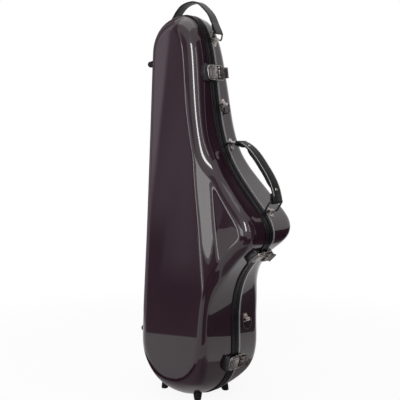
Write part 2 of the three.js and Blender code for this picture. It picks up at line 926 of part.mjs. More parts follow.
function hingeLeaf(side) {
  const leafLevel = trimProud + clearance;
  const strap = new THREE.Shape();
  strap.moveTo(leafLevel, side * hingeKnuckleRadius * 0.9);
  strap.lineTo(leafLevel + plateThickness, side * hingeKnuckleRadius * 0.9);
  strap.lineTo(leafLevel + plateThickness, side * (hingeLeafReach - plateThickness));
  strap.lineTo(leafLevel, side * hingeLeafReach);
  strap.lineTo(-seatOverrun, side * hingeLeafReach);
  strap.lineTo(-seatOverrun, side * (trimWidth + clearance));
  strap.lineTo(leafLevel, side * (trimWidth + clearance)).closePath();
  const pieces = [extruded(strap, hingeLength, outAxis, depthAxis)];
  const pitch = hingeLength / hingeKnuckles;
  for (let knuckle = 0; knuckle < hingeKnuckles; knuckle++) {
    if (knuckle % 2 === (side > 0 ? 1 : 0)) continue;
    const offset = (knuckle + 0.5) * pitch - hingeLength / 2;
    const disc = new THREE.Shape();
    disc.absarc(hingeAxisOut, 0, hingeKnuckleRadius, 0, sphereTurn);
    const web = rectangle(leafLevel, 0, leafLevel + plateThickness, side * hingeKnuckleRadius);
    for (const shape of [disc, web]) {
      pieces.push(extruded(shape, pitch - clearance, outAxis, depthAxis, offset, 6));
    }
  }
  const bore = new THREE.Shape();
  bore.absarc(hingeAxisOut, 0, hingePinRadius + clearance, 0, sphereTurn);
  return cut(joined(pieces), [extruded(bore, hingeLength * 2, outAxis, depthAxis, 0, 5)]);
}

function hingePin() {
  const headRadius = hingeKnuckleRadius * 0.8;
  const headHeight = rivetHeight;
  const half = hingeLength / 2;
  const profile = [
    [0, -half - headHeight - clearance],
    [headRadius, -half - headHeight - clearance],
    [headRadius, -half - clearance],
    [hingePinRadius, -half - clearance],
    [hingePinRadius, half + clearance],
    [headRadius, half + clearance],
    [headRadius, half + headHeight + clearance],
    [0, half + headHeight + clearance],
  ].map(([radius, level]) => new THREE.Vector2(radius, level));
  const pin = new THREE.LatheGeometry(profile, roundSides / 2);
  return pin.rotateX(Math.PI / 2).translate(hingeAxisOut, 0, 0);
}

const spots = ["upper", "middle", "lower"];
spots.forEach((spot, i) => {
  const place = wallPlace(stationAtHeight(-1, hingeHeightShares[i]), 0);
  assembly.add(place);
  // On the spine the local Z points down, which leaves the knuckles symmetric.
  addPiece(place, `hinge_back_leaf_${spot}`, seated(hingeLeaf(1), place, grownBack), blackMetal());
  addPiece(place, `hinge_lid_leaf_${spot}`, seated(hingeLeaf(-1), place, grownLid), blackMetal());
  addPiece(place, `hinge_pin_${spot}`, hingePin(), gunmetal());
});

// Rivet heads are turned domes fused to the plate that they hold.
function rivetHead(depth, along, base) {
  const height = rivetHeight + plateThickness / 2;
  const dome = new THREE.CylinderGeometry(rivetRadius * 0.7, rivetRadius, height, roundSides / 2);
  return dome.rotateZ(-Math.PI / 2).translate(base + rivetHeight / 2 - plateThickness / 4, depth, along);
}

// Draw latches. All points are in the local axes, drawn as [depth, height above the wall].
function latchBase() {
  const half = latchWidth / 2;
  const plate = roundedRectangle(latchBaseStart, -half, latchBaseEnd, half, rivetRadius);
  const foot = extruded(plate, seatOverrun, depthAxis, rimAxis, plateThickness + clearance - seatOverrun / 2);
  const earHeight = latchPinRadius * earShare;
  const ears = [-1, 1].map((side) => {
    const ear = new THREE.Shape();
    ear.moveTo(latchBaseStart, plateThickness / 2);
    ear.lineTo(latchPivotDepth + latchHeelRadius, plateThickness / 2);
    ear.absarc(latchPivotDepth, latchPivotHeight, earHeight, 0, Math.PI);
    ear.closePath();
    ear.holes.push(circleHole(latchPivotDepth, latchPivotHeight, latchPinRadius + clearance));
    const offset = side * (latchWidth / 4);
    return extruded(ear, plateThickness, depthAxis, outAxis, -offset);
  });
  const rivets = [-1, 1].map((side) =>
    rivetHead(latchBaseEnd - rivetRadius * 2, (side * latchWidth) / 5, plateThickness + clearance),
  );
  return joined([foot, ...ears, ...rivets]);
}

const latchCheek = latchWidth / 2 - plateThickness;

function latchLever() {
  const heel = latchHeelRadius;
  const tipDepth = latchPivotDepth + latchLeverLength;
  const bailDepth = latchPivotDepth + latchBailReach;
  const bailHeight = latchPivotHeight - latchBailDrop;
  const top = latchPivotHeight + heel - plateThickness / 2;
  const bend = (degrees) => {
    const angle = THREE.MathUtils.degToRad(degrees);
    const radius = heel - plateThickness / 2;
    return [latchPivotDepth + radius * Math.cos(angle), latchPivotHeight + radius * Math.sin(angle)];
  };
  const line = [
    bend(170),
    bend(140),
    bend(115),
    bend(90),
    [latchPivotDepth + latchLeverLength * 0.35, top + plateThickness * 0.45],
    [latchPivotDepth + latchLeverLength * 0.65, top + plateThickness * 0.4],
    [tipDepth - latchTipRise * 0.9, top],
    [tipDepth, top + latchTipRise * 0.35],
    [tipDepth + latchTipRise * 0.5, top + latchTipRise],
  ];
  const plate = extruded(bandShape(line, plateThickness), latchWidth - plateThickness, depthAxis, outAxis);
  const cheeks = [-1, 1].map((side) => {
    const cheek = new THREE.Shape();
    cheek.absarc(latchPivotDepth, latchPivotHeight, heel, Math.PI / 2, Math.PI * 1.5);
    cheek.lineTo(bailDepth, bailHeight - heel * 0.75);
    cheek.absarc(bailDepth, bailHeight, heel * 0.75, -Math.PI / 2, 0);
    cheek.lineTo(tipDepth - latchTipRise, top);
    cheek.lineTo(latchPivotDepth, top + plateThickness / 2).closePath();
    cheek.holes.push(circleHole(latchPivotDepth, latchPivotHeight, latchPinRadius + clearance));
    cheek.holes.push(circleHole(bailDepth, bailHeight, latchBailRadius + clearance));
    return extruded(cheek, plateThickness, depthAxis, outAxis, -side * (latchCheek - plateThickness / 2));
  });
  // Slots let the ears of the base pass through the curled heel as the lever turns.
  const slotEnd = latchPivotDepth + latchPinRadius * earShare + clearance;
  const heelSlot = rectangle(
    latchPivotDepth - heel - clearance,
    latchPivotHeight - heel - clearance,
    slotEnd,
    latchPivotHeight + heel + plateThickness,
  );
  const slots = [-1, 1].map((side) =>
    extruded(heelSlot, plateThickness + clearance * 2, depthAxis, outAxis, (-side * latchWidth) / 4),
  );
  return cut(joined([plate, ...cheeks]), slots);
}

function latchPin() {
  const length = latchCheek * 2 + plateThickness;
  const pin = new THREE.CylinderGeometry(latchPinRadius, latchPinRadius, length, roundSides / 2);
  return pin.rotateX(Math.PI / 2).translate(latchPivotHeight, latchPivotDepth, 0);
}

// The bail is an oval wire from the lever's cheeks, over the rim, to the bar behind the keeper lip.
function latchBail() {
  const bailDepth = latchPivotDepth + latchBailReach;
  const path = loopPath(latchBailWidth, -keeperBarDepth, bailDepth, latchBailCorner, latchBailRadius * 2.2);
  const origin = new THREE.Vector3(latchPivotHeight - latchBailDrop, 0, 0);
  return wireLoop(path, rimAxis, depthAxis, latchBailRadius, origin);
}

function latchKeeper() {
  const near = -(keeperBarDepth - latchBailRadius - clearance);
  const far = -(keeperBarDepth + keeperLength);
  const start = -(trimWidth + clearance);
  const half = keeperPlateWidth / 2;
  const plate = roundedRectangle(far, -half, start, half, keeperLength / 2);
  const foot = extruded(plate, seatOverrun, depthAxis, rimAxis, keeperPlateHeight - seatOverrun / 2);
  const lip = new THREE.Shape();
  lip.moveTo(start, keeperPlateHeight / 2);
  lip.lineTo(start, keeperPlateHeight);
  lip.lineTo(near + plateThickness, keeperLipHeight);
  lip.lineTo(near, keeperLipHeight);
  lip.lineTo(near, keeperPlateHeight / 2).closePath();
  return joined([foot, extruded(lip, keeperLipWidth, depthAxis, outAxis)]);
}

spots.forEach((spot, i) => {
  const place = wallPlace(stationAtHeight(1, latchPlaceShares[i]), 0);
  assembly.add(place);
  addPiece(place, `latch_base_${spot}`, seated(latchBase(), place, grownBack), gunmetal());
  addPiece(place, `latch_lever_${spot}`, latchLever(), gunmetal());
  addPiece(place, `latch_pin_${spot}`, latchPin(), gunmetal());
  addPiece(place, `latch_bail_${spot}`, latchBail(), gunmetal());
  addPiece(place, `latch_keeper_${spot}`, seated(latchKeeper(), place, grownLid), blackMetal());
});

// A saddle bridges the bar of a ring and is riveted to the wall by a tab above and one below it.
function saddleGeometry(wireRadius, height, width, tabAbove, tabBelow) {
  const hold = wireRadius + clearance;
  const outer = hold + plateThickness;
  const shape = new THREE.Shape();
  shape.moveTo(-tabBelow, -seatOverrun);
  shape.lineTo(tabAbove, -seatOverrun);
  shape.lineTo(tabAbove, plateThickness);
  shape.lineTo(outer, plateThickness);
  shape.absarc(0, height, outer, 0, Math.PI);
  shape.lineTo(-outer, plateThickness);
  shape.lineTo(-tabBelow, plateThickness).closePath();
  shape.holes.push(circleHole(0, height, hold));
  const pieces = [extruded(shape, width, rimAxis, outAxis, 0, 8)];
  for (const tab of [tabAbove, -tabBelow]) {
    if (Math.abs(tab) < outer + rivetRadius * 2) continue;
    pieces.push(rivetHead(0, tab - Math.sign(tab) * rivetRadius * 1.4, plateThickness));
  }
  return joined(pieces);
}

// Height of a bar above the wall, so that its ring lies just clear of the edge trim.
function saddleHeight(wireRadius) {
  return trimProud + barGap + wireRadius;
}

// Strap rings: two on each side wall of the back shell, hanging from their saddles
const sides = [
  ["left", -1],
  ["right", 1],
];
for (const [sideName, side] of sides) {
  ["upper", "lower"].forEach((level, i) => {
    const station = stationAtHeight(side, strapRingHeightShares[i]);
    const place = wallPlace(station, backRise(station.point.y) * strapRingDepthShare);
    assembly.add(place);
    // Local Z points up on the bell side and down on the spine side.
    const tabs = side > 0 ? [saddleTab, saddleLip] : [saddleLip, saddleTab];
    const bracket = saddleGeometry(strapRingRadius, saddleHeight(strapRingRadius), strapSaddleWidth, ...tabs);
    addPiece(place, `strap_bracket_${sideName}_${level}`, seated(bracket, place, grownBack), gunmetal());
    // The ring hangs plumb, or lies on the wall where that slopes outwards below its bar.
    const fall = new THREE.Vector2(-station.inward.y, station.inward.x).multiplyScalar(side);
    const slope = Math.atan2(side * fall.x, -fall.y);
    const lean = slope > 0 ? slope + strapRingLift : 0;
    const way = new THREE.Vector2(side * Math.sin(lean), -Math.cos(lean));
    const path = loopPath(strapRingWidth, 0, strapRingReach, strapRingRadius * 2, strapRingWidth * 0.4);
    const ring = wireLoop(path, depthAxis, outAxis, strapRingRadius);
    const bar = barOf(station, saddleHeight(strapRingRadius));
    const hung = ringPlace(bar, backRise(station.point.y) * strapRingDepthShare, way);
    addPiece(hung, `strap_ring_${sideName}_${level}`, ring, gunmetal());
  });
}

// A ring that stands out from its saddle: local X is the way it points, Y the depth of the case.
function ringPlace(pivot, depth, way) {
  const place = new THREE.Group();
  const out = new THREE.Vector3(way.x, 0, way.y);
  place.quaternion.setFromRotationMatrix(
    new THREE.Matrix4().makeBasis(out, depthAxis, new THREE.Vector3().crossVectors(out, depthAxis)),
  );
  place.position.set(pivot.x, depth, pivot.y);
  place.updateMatrix();
  assembly.add(place);
  return place;
}

function standingRing(width, reach, radius) {
  const path = loopPath(width, 0, reach, radius * 2, radius * 2);
  return wireLoop(path, depthAxis, outAxis, radius);
}

function barOf(station, standoff) {
  return station.point.clone().addScaledVector(station.inward, -standoff);
}

// Straps are bands with an eye at each end, bored for the bars of their rings.
function eyedStrap(line, thickness, width, eyes, barRadius, u, v) {
  const pieces = [extruded(bandShape(line, thickness), width, u, v)];
  const bores = [];
  for (const [a, b] of eyes) {
    const ring = new THREE.Shape();
    ring.absarc(a, b, barRadius + clearance + thickness * eyeWallShare, 0, sphereTurn);
    pieces.push(extruded(ring, width, u, v, 0, 6));
    const bore = new THREE.Shape();
    bore.absarc(a, b, barRadius + clearance, 0, sphereTurn);
    bores.push(extruded(bore, width + seatOverrun, u, v, 0, 6));
  }
  return cut(joined(pieces), bores);
}

// Side handle: two rings in saddles lean towards each other and carry a strap over a padded grip
const handleUpper = stationAtHeight(1, handleUpperShare);
const handleLower = stationAtHeight(1, handleLowerShare);
const handleDepth = backRise(handleUpper.point.y) * strapRingDepthShare;
const handleStandoff = saddleHeight(handleRingRadius);
const upperBar = barOf(handleUpper, handleStandoff);
const lowerBar = barOf(handleLower, handleStandoff);
const barLine = lowerBar.clone().sub(upperBar).normalize();

function leanedFromBarLine(lean) {
  return barLine.clone().rotateAround(new THREE.Vector2(), lean);
}

const upperWay = leanedFromBarLine(upperRingLean);
const lowerWay = leanedFromBarLine(lowerRingLean);
const upperEye = upperBar.clone().addScaledVector(upperWay, handleRingReach);
const lowerEye = lowerBar.clone().addScaledVector(lowerWay, handleRingReach);
for (const [level, station, bar, way] of [
  ["upper", handleUpper, upperBar, upperWay],
  ["lower", handleLower, lowerBar, lowerWay],
]) {
  const wallSpot = wallPlace(station, handleDepth);
  assembly.add(wallSpot);
  const tabs = [handleSaddleWidth, saddleTab, saddleTab];
  const bracket = saddleGeometry(handleRingRadius, handleStandoff, ...tabs);
  addPiece(wallSpot, `handle_bracket_${level}`, seated(bracket, wallSpot, grownBack), gunmetal());
  const ring = standingRing(handleRingWidth, handleRingReach, handleRingRadius);
  addPiece(ringPlace(bar, handleDepth, way), `handle_ring_${level}`, ring, blackMetal());
}

const gripWay = lowerEye.clone().sub(upperEye);
const gripLength = gripWay.length();
const gripOut = gripWay.clone().normalize().rotateAround(new THREE.Vector2(), Math.PI / 2);
const gripPlace = ringPlace(upperEye, handleDepth, gripOut);
// In this place X points away from the case and the grip runs towards -Z.
const downGrip = new THREE.Vector3(0, 0, -1);

// Rise of the grip over the line between its eyes: steep at both ends and flat in the middle.
function gripRiseAt(share) {
  return handleRise * (1 - Math.abs(2 * share - 1) ** 3);
}

const strapOffset = handleRingRadius + clearance + handleStrapThickness / 2;

function gripLine() {
  return Array.from({ length: gripSteps + 1 }, (_, k) => {
    const share = k / gripSteps;
    return [share * gripLength, gripRiseAt(share) + strapOffset];
  });
}

const gripEyes = [
  [0, 0],
  [gripLength, 0],
];
const gripSize = [handleStrapThickness, handleStrapWidth];
const gripStrap = eyedStrap(gripLine(), ...gripSize, gripEyes, handleRingRadius, downGrip, outAxis);
addPiece(gripPlace, "handle_strap", gripStrap, leather());

// The padded grip is a crowned cushion under the strap, slimmer towards its ends.
function handlePad() {
  const surface = new Surface();
  const spine = (share) => new THREE.Vector2(-share * gripLength, gripRiseAt(share) + strapOffset);
  const rings = Array.from({ length: gripSteps + 1 }, (_, k) => {
    const along = k / gripSteps;
    const share = THREE.MathUtils.lerp(padStartShare, 1 - padStartShare, along);
    const fullness = THREE.MathUtils.lerp(padSlimShare, 1, Math.sqrt(Math.sin(Math.PI * along)));
    const here = spine(share);
    const ahead = spine(share + 1 / gripSteps / 2);
    const behind = spine(share - 1 / gripSteps / 2);
    const away = ahead.sub(behind).normalize().rotateAround(new THREE.Vector2(), Math.PI / 2);
    if (away.y > 0) away.negate();
    const gap = handleStrapThickness / 2 + clearance * 2;
    return surface.ring(
      padOutline().map(([across, under]) => {
        const spot = here.clone().addScaledVector(away, gap + under * handlePadThickness * fullness);
        return new THREE.Vector3(spot.y, (across * handlePadWidth * fullness) / 2, spot.x);
      }),
    );
  });
  surface.bands(rings);
  const middleOf = (ring) => {
    const corners = ring.map((corner) => new THREE.Vector3().fromArray(surface.positions, corner * 3));
    return corners.reduce((sum, corner) => sum.add(corner), new THREE.Vector3()).divideScalar(ring.length);
  };
  surface.fan(rings[0], middleOf(rings[0]), true);
  surface.fan(rings.at(-1), middleOf(rings.at(-1)), false);
  return surface.geometry();
}

// Section of the pad: flat against the strap, rounded below; shares of its half width and height.
function padOutline() {
  const under = Array.from({ length: roundSides / 2 - 1 }, (_, k) => {
    const angle = ((k + 1) / (roundSides / 2)) * Math.PI;
    const across = Math.sign(Math.cos(angle)) * Math.sqrt(Math.abs(Math.cos(angle)));
    return [across, Math.sqrt(Math.sin(angle))];
  });
  return [[1, 0], ...under, [-1, 0]];
}
addPiece(gripPlace, "handle_pad", handlePad(), leather());

// Top strap: an arch between two leaning rings on the side walls near the top
const topRight = stationAtHeight(1, topRingHeightShare);
const topLeft = stationAtHeight(-1, topRingHeightShare);
const topLeastDepth = trimWidth + clearance + topSaddleWidth / 2;
const topDepth = topLeastDepth + backRise(topRight.point.y) * topDepthShare;
const topWay = new THREE.Vector2(Math.sin(topRingLean), Math.cos(topRingLean));
const topEyes = [];
for (const [sideName, station] of [
  ["left", topLeft],
  ["right", topRight],
]) {
  const bar = barOf(station, topStandoff);
  topEyes.push(bar.clone().addScaledVector(topWay, topRingReach));
  const wallSpot = wallPlace(station, topDepth);
  assembly.add(wallSpot);
  // Local Z points up on the bell side and down on the spine side.
  const tabs = sideName === "right" ? [saddleLip, saddleTab] : [saddleTab, saddleLip];
  const bracket = saddleGeometry(topRingRadius, topStandoff, topSaddleWidth, ...tabs);
  addPiece(wallSpot, `top_bracket_${sideName}`, seated(bracket, wallSpot, grownBack), gunmetal());
  const ring = standingRing(topRingWidth, topRingReach, topRingRadius);
  addPiece(ringPlace(bar, topDepth, topWay), `top_ring_${sideName}`, ring, gunmetal());
}

const topSpan = topEyes[1].x - topEyes[0].x;
const topDrop = topEyes[1].y - topEyes[0].y;
const topPlace = new THREE.Group();
topPlace.position.set(topEyes[0].x, topDepth, topEyes[0].y);
assembly.add(topPlace);

function topStrapLine() {
  const corners = topStrapShares.map(
    ([across, rise]) => new THREE.Vector3(across * topSpan, rise * topStrapRise + across * topDrop, 0),
  );
  const curve = new THREE.CatmullRomCurve3(corners, false, "centripetal");
  return curve.getSpacedPoints(gripSteps * 2).map((spot) => [spot.x, spot.y]);
}

const topStrapEyes = [
  [0, 0],
  [topSpan, topDrop],
];
addPiece(
  topPlace,
  "top_strap",
  eyedStrap(topStrapLine(), topStrapThickness, topStrapWidth, topStrapEyes, topRingRadius, outAxis, rimAxis),
  leather(),
);

// Rubber feet: splayed cones under the bottom arch, and short cones on the spine wall
function splayedFoot(tip, lean, grown) {
  const surface = new Surface();
  const rise = shellHeight * 0.08;
  const levels = [
    [0, footTipRadius],
    [rise, THREE.MathUtils.mapLinear(rise, 0, footSplay * 5, footTipRadius, footRootRadius)],
  ];
  const rings = levels.map(([level, radius]) => {
    const drift = level / (footSplay * 5);
    return surface.ring(
      Array.from({ length: roundSides }, (_, k) => {
        const angle = (k / roundSides) * sphereTurn;
        return new THREE.Vector3(
          tip.x - lean.x * footSplay * drift + radius * Math.cos(angle),
          tip.y - lean.y * footSplay * drift + radius * Math.sin(angle),
          level,
        );
      }),
    );
  });
  surface.bands(rings);
  const middle = (drift, level) =>
    new THREE.Vector3(tip.x - lean.x * footSplay * drift, tip.y - lean.y * footSplay * drift, level);
  surface.fan(rings[0], middle(0, 0), true);
  surface.fan(rings[1], middle(rise / (footSplay * 5), rise), false);
  return cut(surface.geometry(), [grown]);
}

for (const [sideName, x, leanX] of [
  ["left", bottomFeetLeft, -1],
  ["right", bottomFeetRight, 1],
]) {
  const front = splayedFoot(new THREE.Vector2(x, -bottomFeetFront), new THREE.Vector2(leanX, -1), grownLid);
  const back = splayedFoot(new THREE.Vector2(x, bottomFeetBack), new THREE.Vector2(leanX, 1), grownBack);
  addPiece(assembly, `foot_front_${sideName}`, front, rubber());
  addPiece(assembly, `foot_back_${sideName}`, back, rubber());
}

function sideFoot(place, grown) {
  const cone = new THREE.CylinderGeometry(sideFootTipRadius, sideFootRadius, sideFootHeight, roundSides);
  cone.rotateZ(-Math.PI / 2).translate(sideFootHeight / 2, 0, 0);
  const root = new THREE.CylinderGeometry(sideFootRadius, sideFootRadius, seatOverrun, roundSides);
  root.rotateZ(-Math.PI / 2).translate(-seatOverrun / 2 + clearance, 0, 0);
  return seated(joined([cone, root]), place, grown);
}

const sideFootHighShare = hingeHeightShares[0] + sideFootAboveHinge / shellHeight;
const sideFootShares = [sideFootHighShare, sideFootLowShare];

["upper", "lower"].forEach((level, i) => {
  const station = stationAtHeight(-1, sideFootShares[i]);
  const lidDepth = lidRise(station.point.y) * sideFootDepthShare;
  const leastDepth = trimWidth + sideFootRadius + clearance * 2;
  const rearDepth = Math.max(backRise(station.point.y) * sideFootDepthShare, leastDepth);
  for (const [shellName, depth, grown] of [
    ["lid", -lidDepth, grownLid],
    ["back", rearDepth, grownBack],
  ]) {
    const place = wallPlace(station, depth);
    assembly.add(place);
    addPiece(place, `side_foot_${shellName}_${level}`, sideFoot(place, grown), rubber());
  }
});

// The finished case, with its origin at the middle of its footprint
const saxophoneCase = new THREE.Group();
saxophoneCase.add(assembly);
assembly.updateMatrixWorld(true);
const bounds = new THREE.Box3().setFromObject(assembly, true);
const middle = bounds.getCenter(new THREE.Vector3());
assembly.position.set(-middle.x, -middle.y, -bounds.min.z);

export default saxophoneCase;
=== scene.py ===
# %% [markdown]
# # A contoured hard case for a tenor saxophone
# The case stands on rubber feet: two glossy moulded shells, hinged along the straight spine and
# held shut by three draw latches. The mechanical model is loaded first. It is exact but plain, and
# every piece made here takes its place, rides on the same moving body and adds what the eye expects:
# smooth gloss, rounded edges, stitching, rivets, rubber and plush.

# %% Load the mechanical frame
import json
import math

import bmesh
import bpy
import numpy as np
from mathutils import Matrix, Vector
from mathutils.bvhtree import BVHTree
from mathutils.geometry import interpolate_bezier

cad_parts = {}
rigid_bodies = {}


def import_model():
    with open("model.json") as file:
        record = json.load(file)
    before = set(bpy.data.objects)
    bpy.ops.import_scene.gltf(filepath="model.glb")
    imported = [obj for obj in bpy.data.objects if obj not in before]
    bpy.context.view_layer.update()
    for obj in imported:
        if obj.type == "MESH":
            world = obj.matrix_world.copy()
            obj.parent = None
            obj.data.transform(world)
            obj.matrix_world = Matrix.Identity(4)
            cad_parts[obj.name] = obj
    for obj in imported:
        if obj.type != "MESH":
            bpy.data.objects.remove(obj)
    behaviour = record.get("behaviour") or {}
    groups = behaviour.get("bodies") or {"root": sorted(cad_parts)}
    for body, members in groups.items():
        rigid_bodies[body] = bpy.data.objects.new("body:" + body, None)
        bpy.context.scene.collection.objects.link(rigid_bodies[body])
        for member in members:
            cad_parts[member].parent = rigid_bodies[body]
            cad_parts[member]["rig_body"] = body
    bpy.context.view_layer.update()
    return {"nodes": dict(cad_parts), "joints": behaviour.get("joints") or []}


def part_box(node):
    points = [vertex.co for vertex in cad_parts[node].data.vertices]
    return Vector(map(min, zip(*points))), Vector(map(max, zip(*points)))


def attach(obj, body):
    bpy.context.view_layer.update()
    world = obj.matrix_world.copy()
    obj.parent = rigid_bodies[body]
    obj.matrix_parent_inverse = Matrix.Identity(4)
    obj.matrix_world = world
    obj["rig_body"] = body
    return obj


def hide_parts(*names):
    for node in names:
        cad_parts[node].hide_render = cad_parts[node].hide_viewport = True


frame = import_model()

# %% [markdown]
# ## The camera
# The picture was taken with a medium lens from a little above the middle of the case, turned 45
# degrees, so that lid and side wall show alike. A camera with the same angle and lens comes first,
# because every later step is judged through it.

# %% Place the camera
camera_place = Vector((1.05267, -1.08186, 0.56857))
camera_aim = Vector((-0.03203, 0.00284, 0.43270))
lens = bpy.data.cameras.new("photo_camera")
lens.sensor_width = 36
lens.lens = 63
lens.clip_end = 60
camera = bpy.data.objects.new("photo_camera", lens)
camera.location = camera_place
camera.rotation_euler = (camera_aim - camera_place).to_track_quat("-Z", "Y").to_euler()
bpy.context.scene.collection.objects.link(camera)
bpy.context.scene.camera = camera
bpy.context.scene.view_settings.view_transform = "Standard"
print("camera distance:", round((camera_aim - camera_place).length, 3))

# %% [markdown]
# ## Sums that write shader nodes
# Node setups get long. One small class wraps a socket, so that ordinary sums on it add the Math
# nodes, and one method adds any other kind of node. A finish then reads like a recipe.


# %% Wrap sockets and materials
class Value:
    """A number carried by a shader socket; sums and products on it add Math nodes."""

    def __init__(self, nodes, socket):
        self.nodes = nodes
        self.socket = socket

    def math(self, operation, first, second=0.0):
        return self.nodes.node("ShaderNodeMath", {"operation": operation}, {0: first, 1: second})

    def __add__(self, other):
        return self.math("ADD", self, other)

    def __sub__(self, other):
        return self.math("SUBTRACT", self, other)

    def __mul__(self, other):
        return self.math("MULTIPLY", self, other)

    def __rsub__(self, other):
        return self.math("SUBTRACT", other, self)

    __radd__ = __add__
    __rmul__ = __mul__

    def above(self, limit, softness):
        settings = {"interpolation_type": "SMOOTHSTEP", "clamp": True}
        inputs = {"Value": self, "From Min": limit - softness, "From Max": limit + softness}
        return self.nodes.node("ShaderNodeMapRange", settings, inputs)


class Nodes:
    """The node tree of a material or of the world, and the one method that adds a node to it."""

    def __init__(self, tree):
        self.tree = tree

    def node(self, kind, settings=None, inputs=None, out=0):
        made = self.tree.nodes.new(kind)
        for name, value in (settings or {}).items():
            setattr(made, name, value)
        self.fill(made, inputs or {})
        return Value(self, made.outputs[out])

    def fill(self, made, inputs):
        for name, value in inputs.items():
            if isinstance(value, Value):
                self.tree.links.new(value.socket, made.inputs[name])
            else:
                made.inputs[name].default_value = value

    def ray_kinds(self):
        """Three values, each 1 for a ray from the camera, a mirror or glass, and else 0."""
        kinds = ("Is Camera Ray", "Is Glossy Ray", "Is Transmission Ray")
        return [self.node("ShaderNodeLightPath", out=kind) for kind in kinds]


class Finish(Nodes):
    """A material in the making: its Principled shader and the nodes that feed it."""

    def __init__(self, name, color, roughness, metallic=0.0):
        self.material = bpy.data.materials.new(name)
        self.material.use_nodes = True
        super().__init__(self.material.node_tree)
        self.shader = self.tree.nodes["Principled BSDF"]
        self.set({"Base Color": (*color, 1), "Roughness": roughness, "Metallic": metallic})
        self.spot = self.node("ShaderNodeTexCoord", out="Object")

    def set(self, inputs):
        self.fill(self.shader, inputs)
        return self

    def surface(self, shader):
        """Shows another shader in place of the Principled one."""
        self.fill(self.tree.nodes["Material Output"], {"Surface": shader})

    def along(self, axis):
        """How far a spot lies along x (0), y (1) or z (2)."""
        return self.node("ShaderNodeSeparateXYZ", None, {0: self.spot}, out=axis)

    def noise(self, scale, detail, roughness=0.5, stretch=(1, 1, 1)):
        spot = self.node("ShaderNodeMapping", None, {"Vector": self.spot, "Scale": stretch})
        inputs = {"Vector": spot, "Scale": scale, "Detail": detail, "Roughness": roughness}
        return self.node("ShaderNodeTexNoise", None, inputs)

    def cells(self, scale):
        return self.node("ShaderNodeTexVoronoi", None, {"Vector": self.spot, "Scale": scale})

    def tint(self, share, low, high):
        """Mixes two colours. On a Mix node they are sockets 6 and 7, and its colour output is 2."""
        low, high = (c if isinstance(c, Value) else (*c, 1) for c in (low, high))
        return self.node("ShaderNodeMix", {"data_type": "RGBA"}, {0: share, 6: low, 7: high}, out=2)

    def relief(self, height, depth, strength):
        inputs = {"Height": height, "Distance": depth, "Strength": strength}
        return self.set({"Normal": self.node("ShaderNodeBump", None, inputs)})


# %% [markdown]
# ## The gloss of the shells
# The shells are moulded composite with a thick clear coat over a deep aubergine lacquer. Under the
# coat lies a very fine metallic fleck, and the coat itself has a faint orange peel. The base is
# nearly black: most of what one sees on such a surface is the room.

# %% Mix the shell lacquer
lacquer = Finish("aubergine_lacquer", (0.016, 0.005, 0.010), 0.3)
fleck = lacquer.noise(1400, 1).above(0.62, 0.08)
depth_of_color = lacquer.noise(7, 2)
deep = lacquer.tint(depth_of_color, (0.013, 0.004, 0.008), (0.020, 0.006, 0.0125))
lacquer.set({"Base Color": deep, "Metallic": fleck * 0.5, "Coat Weight": 1.0, "Coat Roughness": 0.025})
lacquer.set({"Roughness": 0.28 + fleck * 0.12, "Coat IOR": 1.5, "Specular IOR Level": 0.1})
lacquer.relief(lacquer.noise(38, 1), 0.00025, 0.35)
print("lacquer nodes:", len(lacquer.tree.nodes))

# %% [markdown]
# ## Rubber, metal, leather and plush
# The edging and the feet are black rubber with a fine grain. The fittings are stamped steel in dark
# nickel or black paint, brushed along one way and dulled where hands go. Leather has a pebbled
# grain of small cells, and the plush inside is a dense short pile that goes pale where it catches
# light at a flat angle.


# %% Mix the smaller finishes
def rubber_finish(name, tone, gloss):
    rubber = Finish(name, (tone, tone * 0.9, tone), gloss)
    dust = rubber.noise(60, 3)
    low, high = (tone * 0.8, tone * 0.72, tone * 0.8), (tone * 1.5, tone * 1.3, tone * 1.5)
    rubber.set({"Base Color": rubber.tint(dust, low, high), "Specular IOR Level": 0.18})
    rubber.set({"Roughness": gloss + (dust - 0.5) * 0.12})
    return rubber.relief(rubber.noise(900, 2), 0.0002, 0.25).material


def metal_finish(name, light, dark, gloss, metallic=1.0):
    metal = Finish(name, light, gloss, metallic)
    brushed = metal.noise(140, 3, 0.6, (1, 1, 9))
    grime = metal.noise(95, 3).above(0.58, 0.16)
    metal.set({"Base Color": metal.tint(grime, light, dark)})
    metal.set({"Roughness": gloss + brushed * 0.1 + grime * 0.12})
    return metal.relief(brushed, 0.0001, 0.2).material


def leather_finish(name, tone, gloss):
    leather = Finish(name, (tone, tone, tone), gloss)
    pebbles = leather.cells(520)
    wear = leather.noise(45, 3).above(0.6, 0.15)
    leather.set({"Base Color": leather.tint(wear, (tone,) * 3, (tone * 1.9,) * 3)})
    leather.set({"Roughness": gloss + pebbles * 0.15 - wear * 0.08, "Specular IOR Level": 0.2})
    return leather.relief(pebbles, 0.0004, 0.5).material


def plush_finish(name, low, high):
    plush = Finish(name, low, 0.95)
    pile = plush.noise(700, 3)
    stroke = plush.noise(14, 3, 0.5, (1, 1, 0.4))
    plush.set({"Base Color": plush.tint(stroke * 0.6 + pile * 0.4, low, high)})
    plush.set({"Sheen Weight": 0.6, "Sheen Roughness": 0.4, "Specular IOR Level": 0.1})
    return plush.relief(pile, 0.0009, 0.6).material


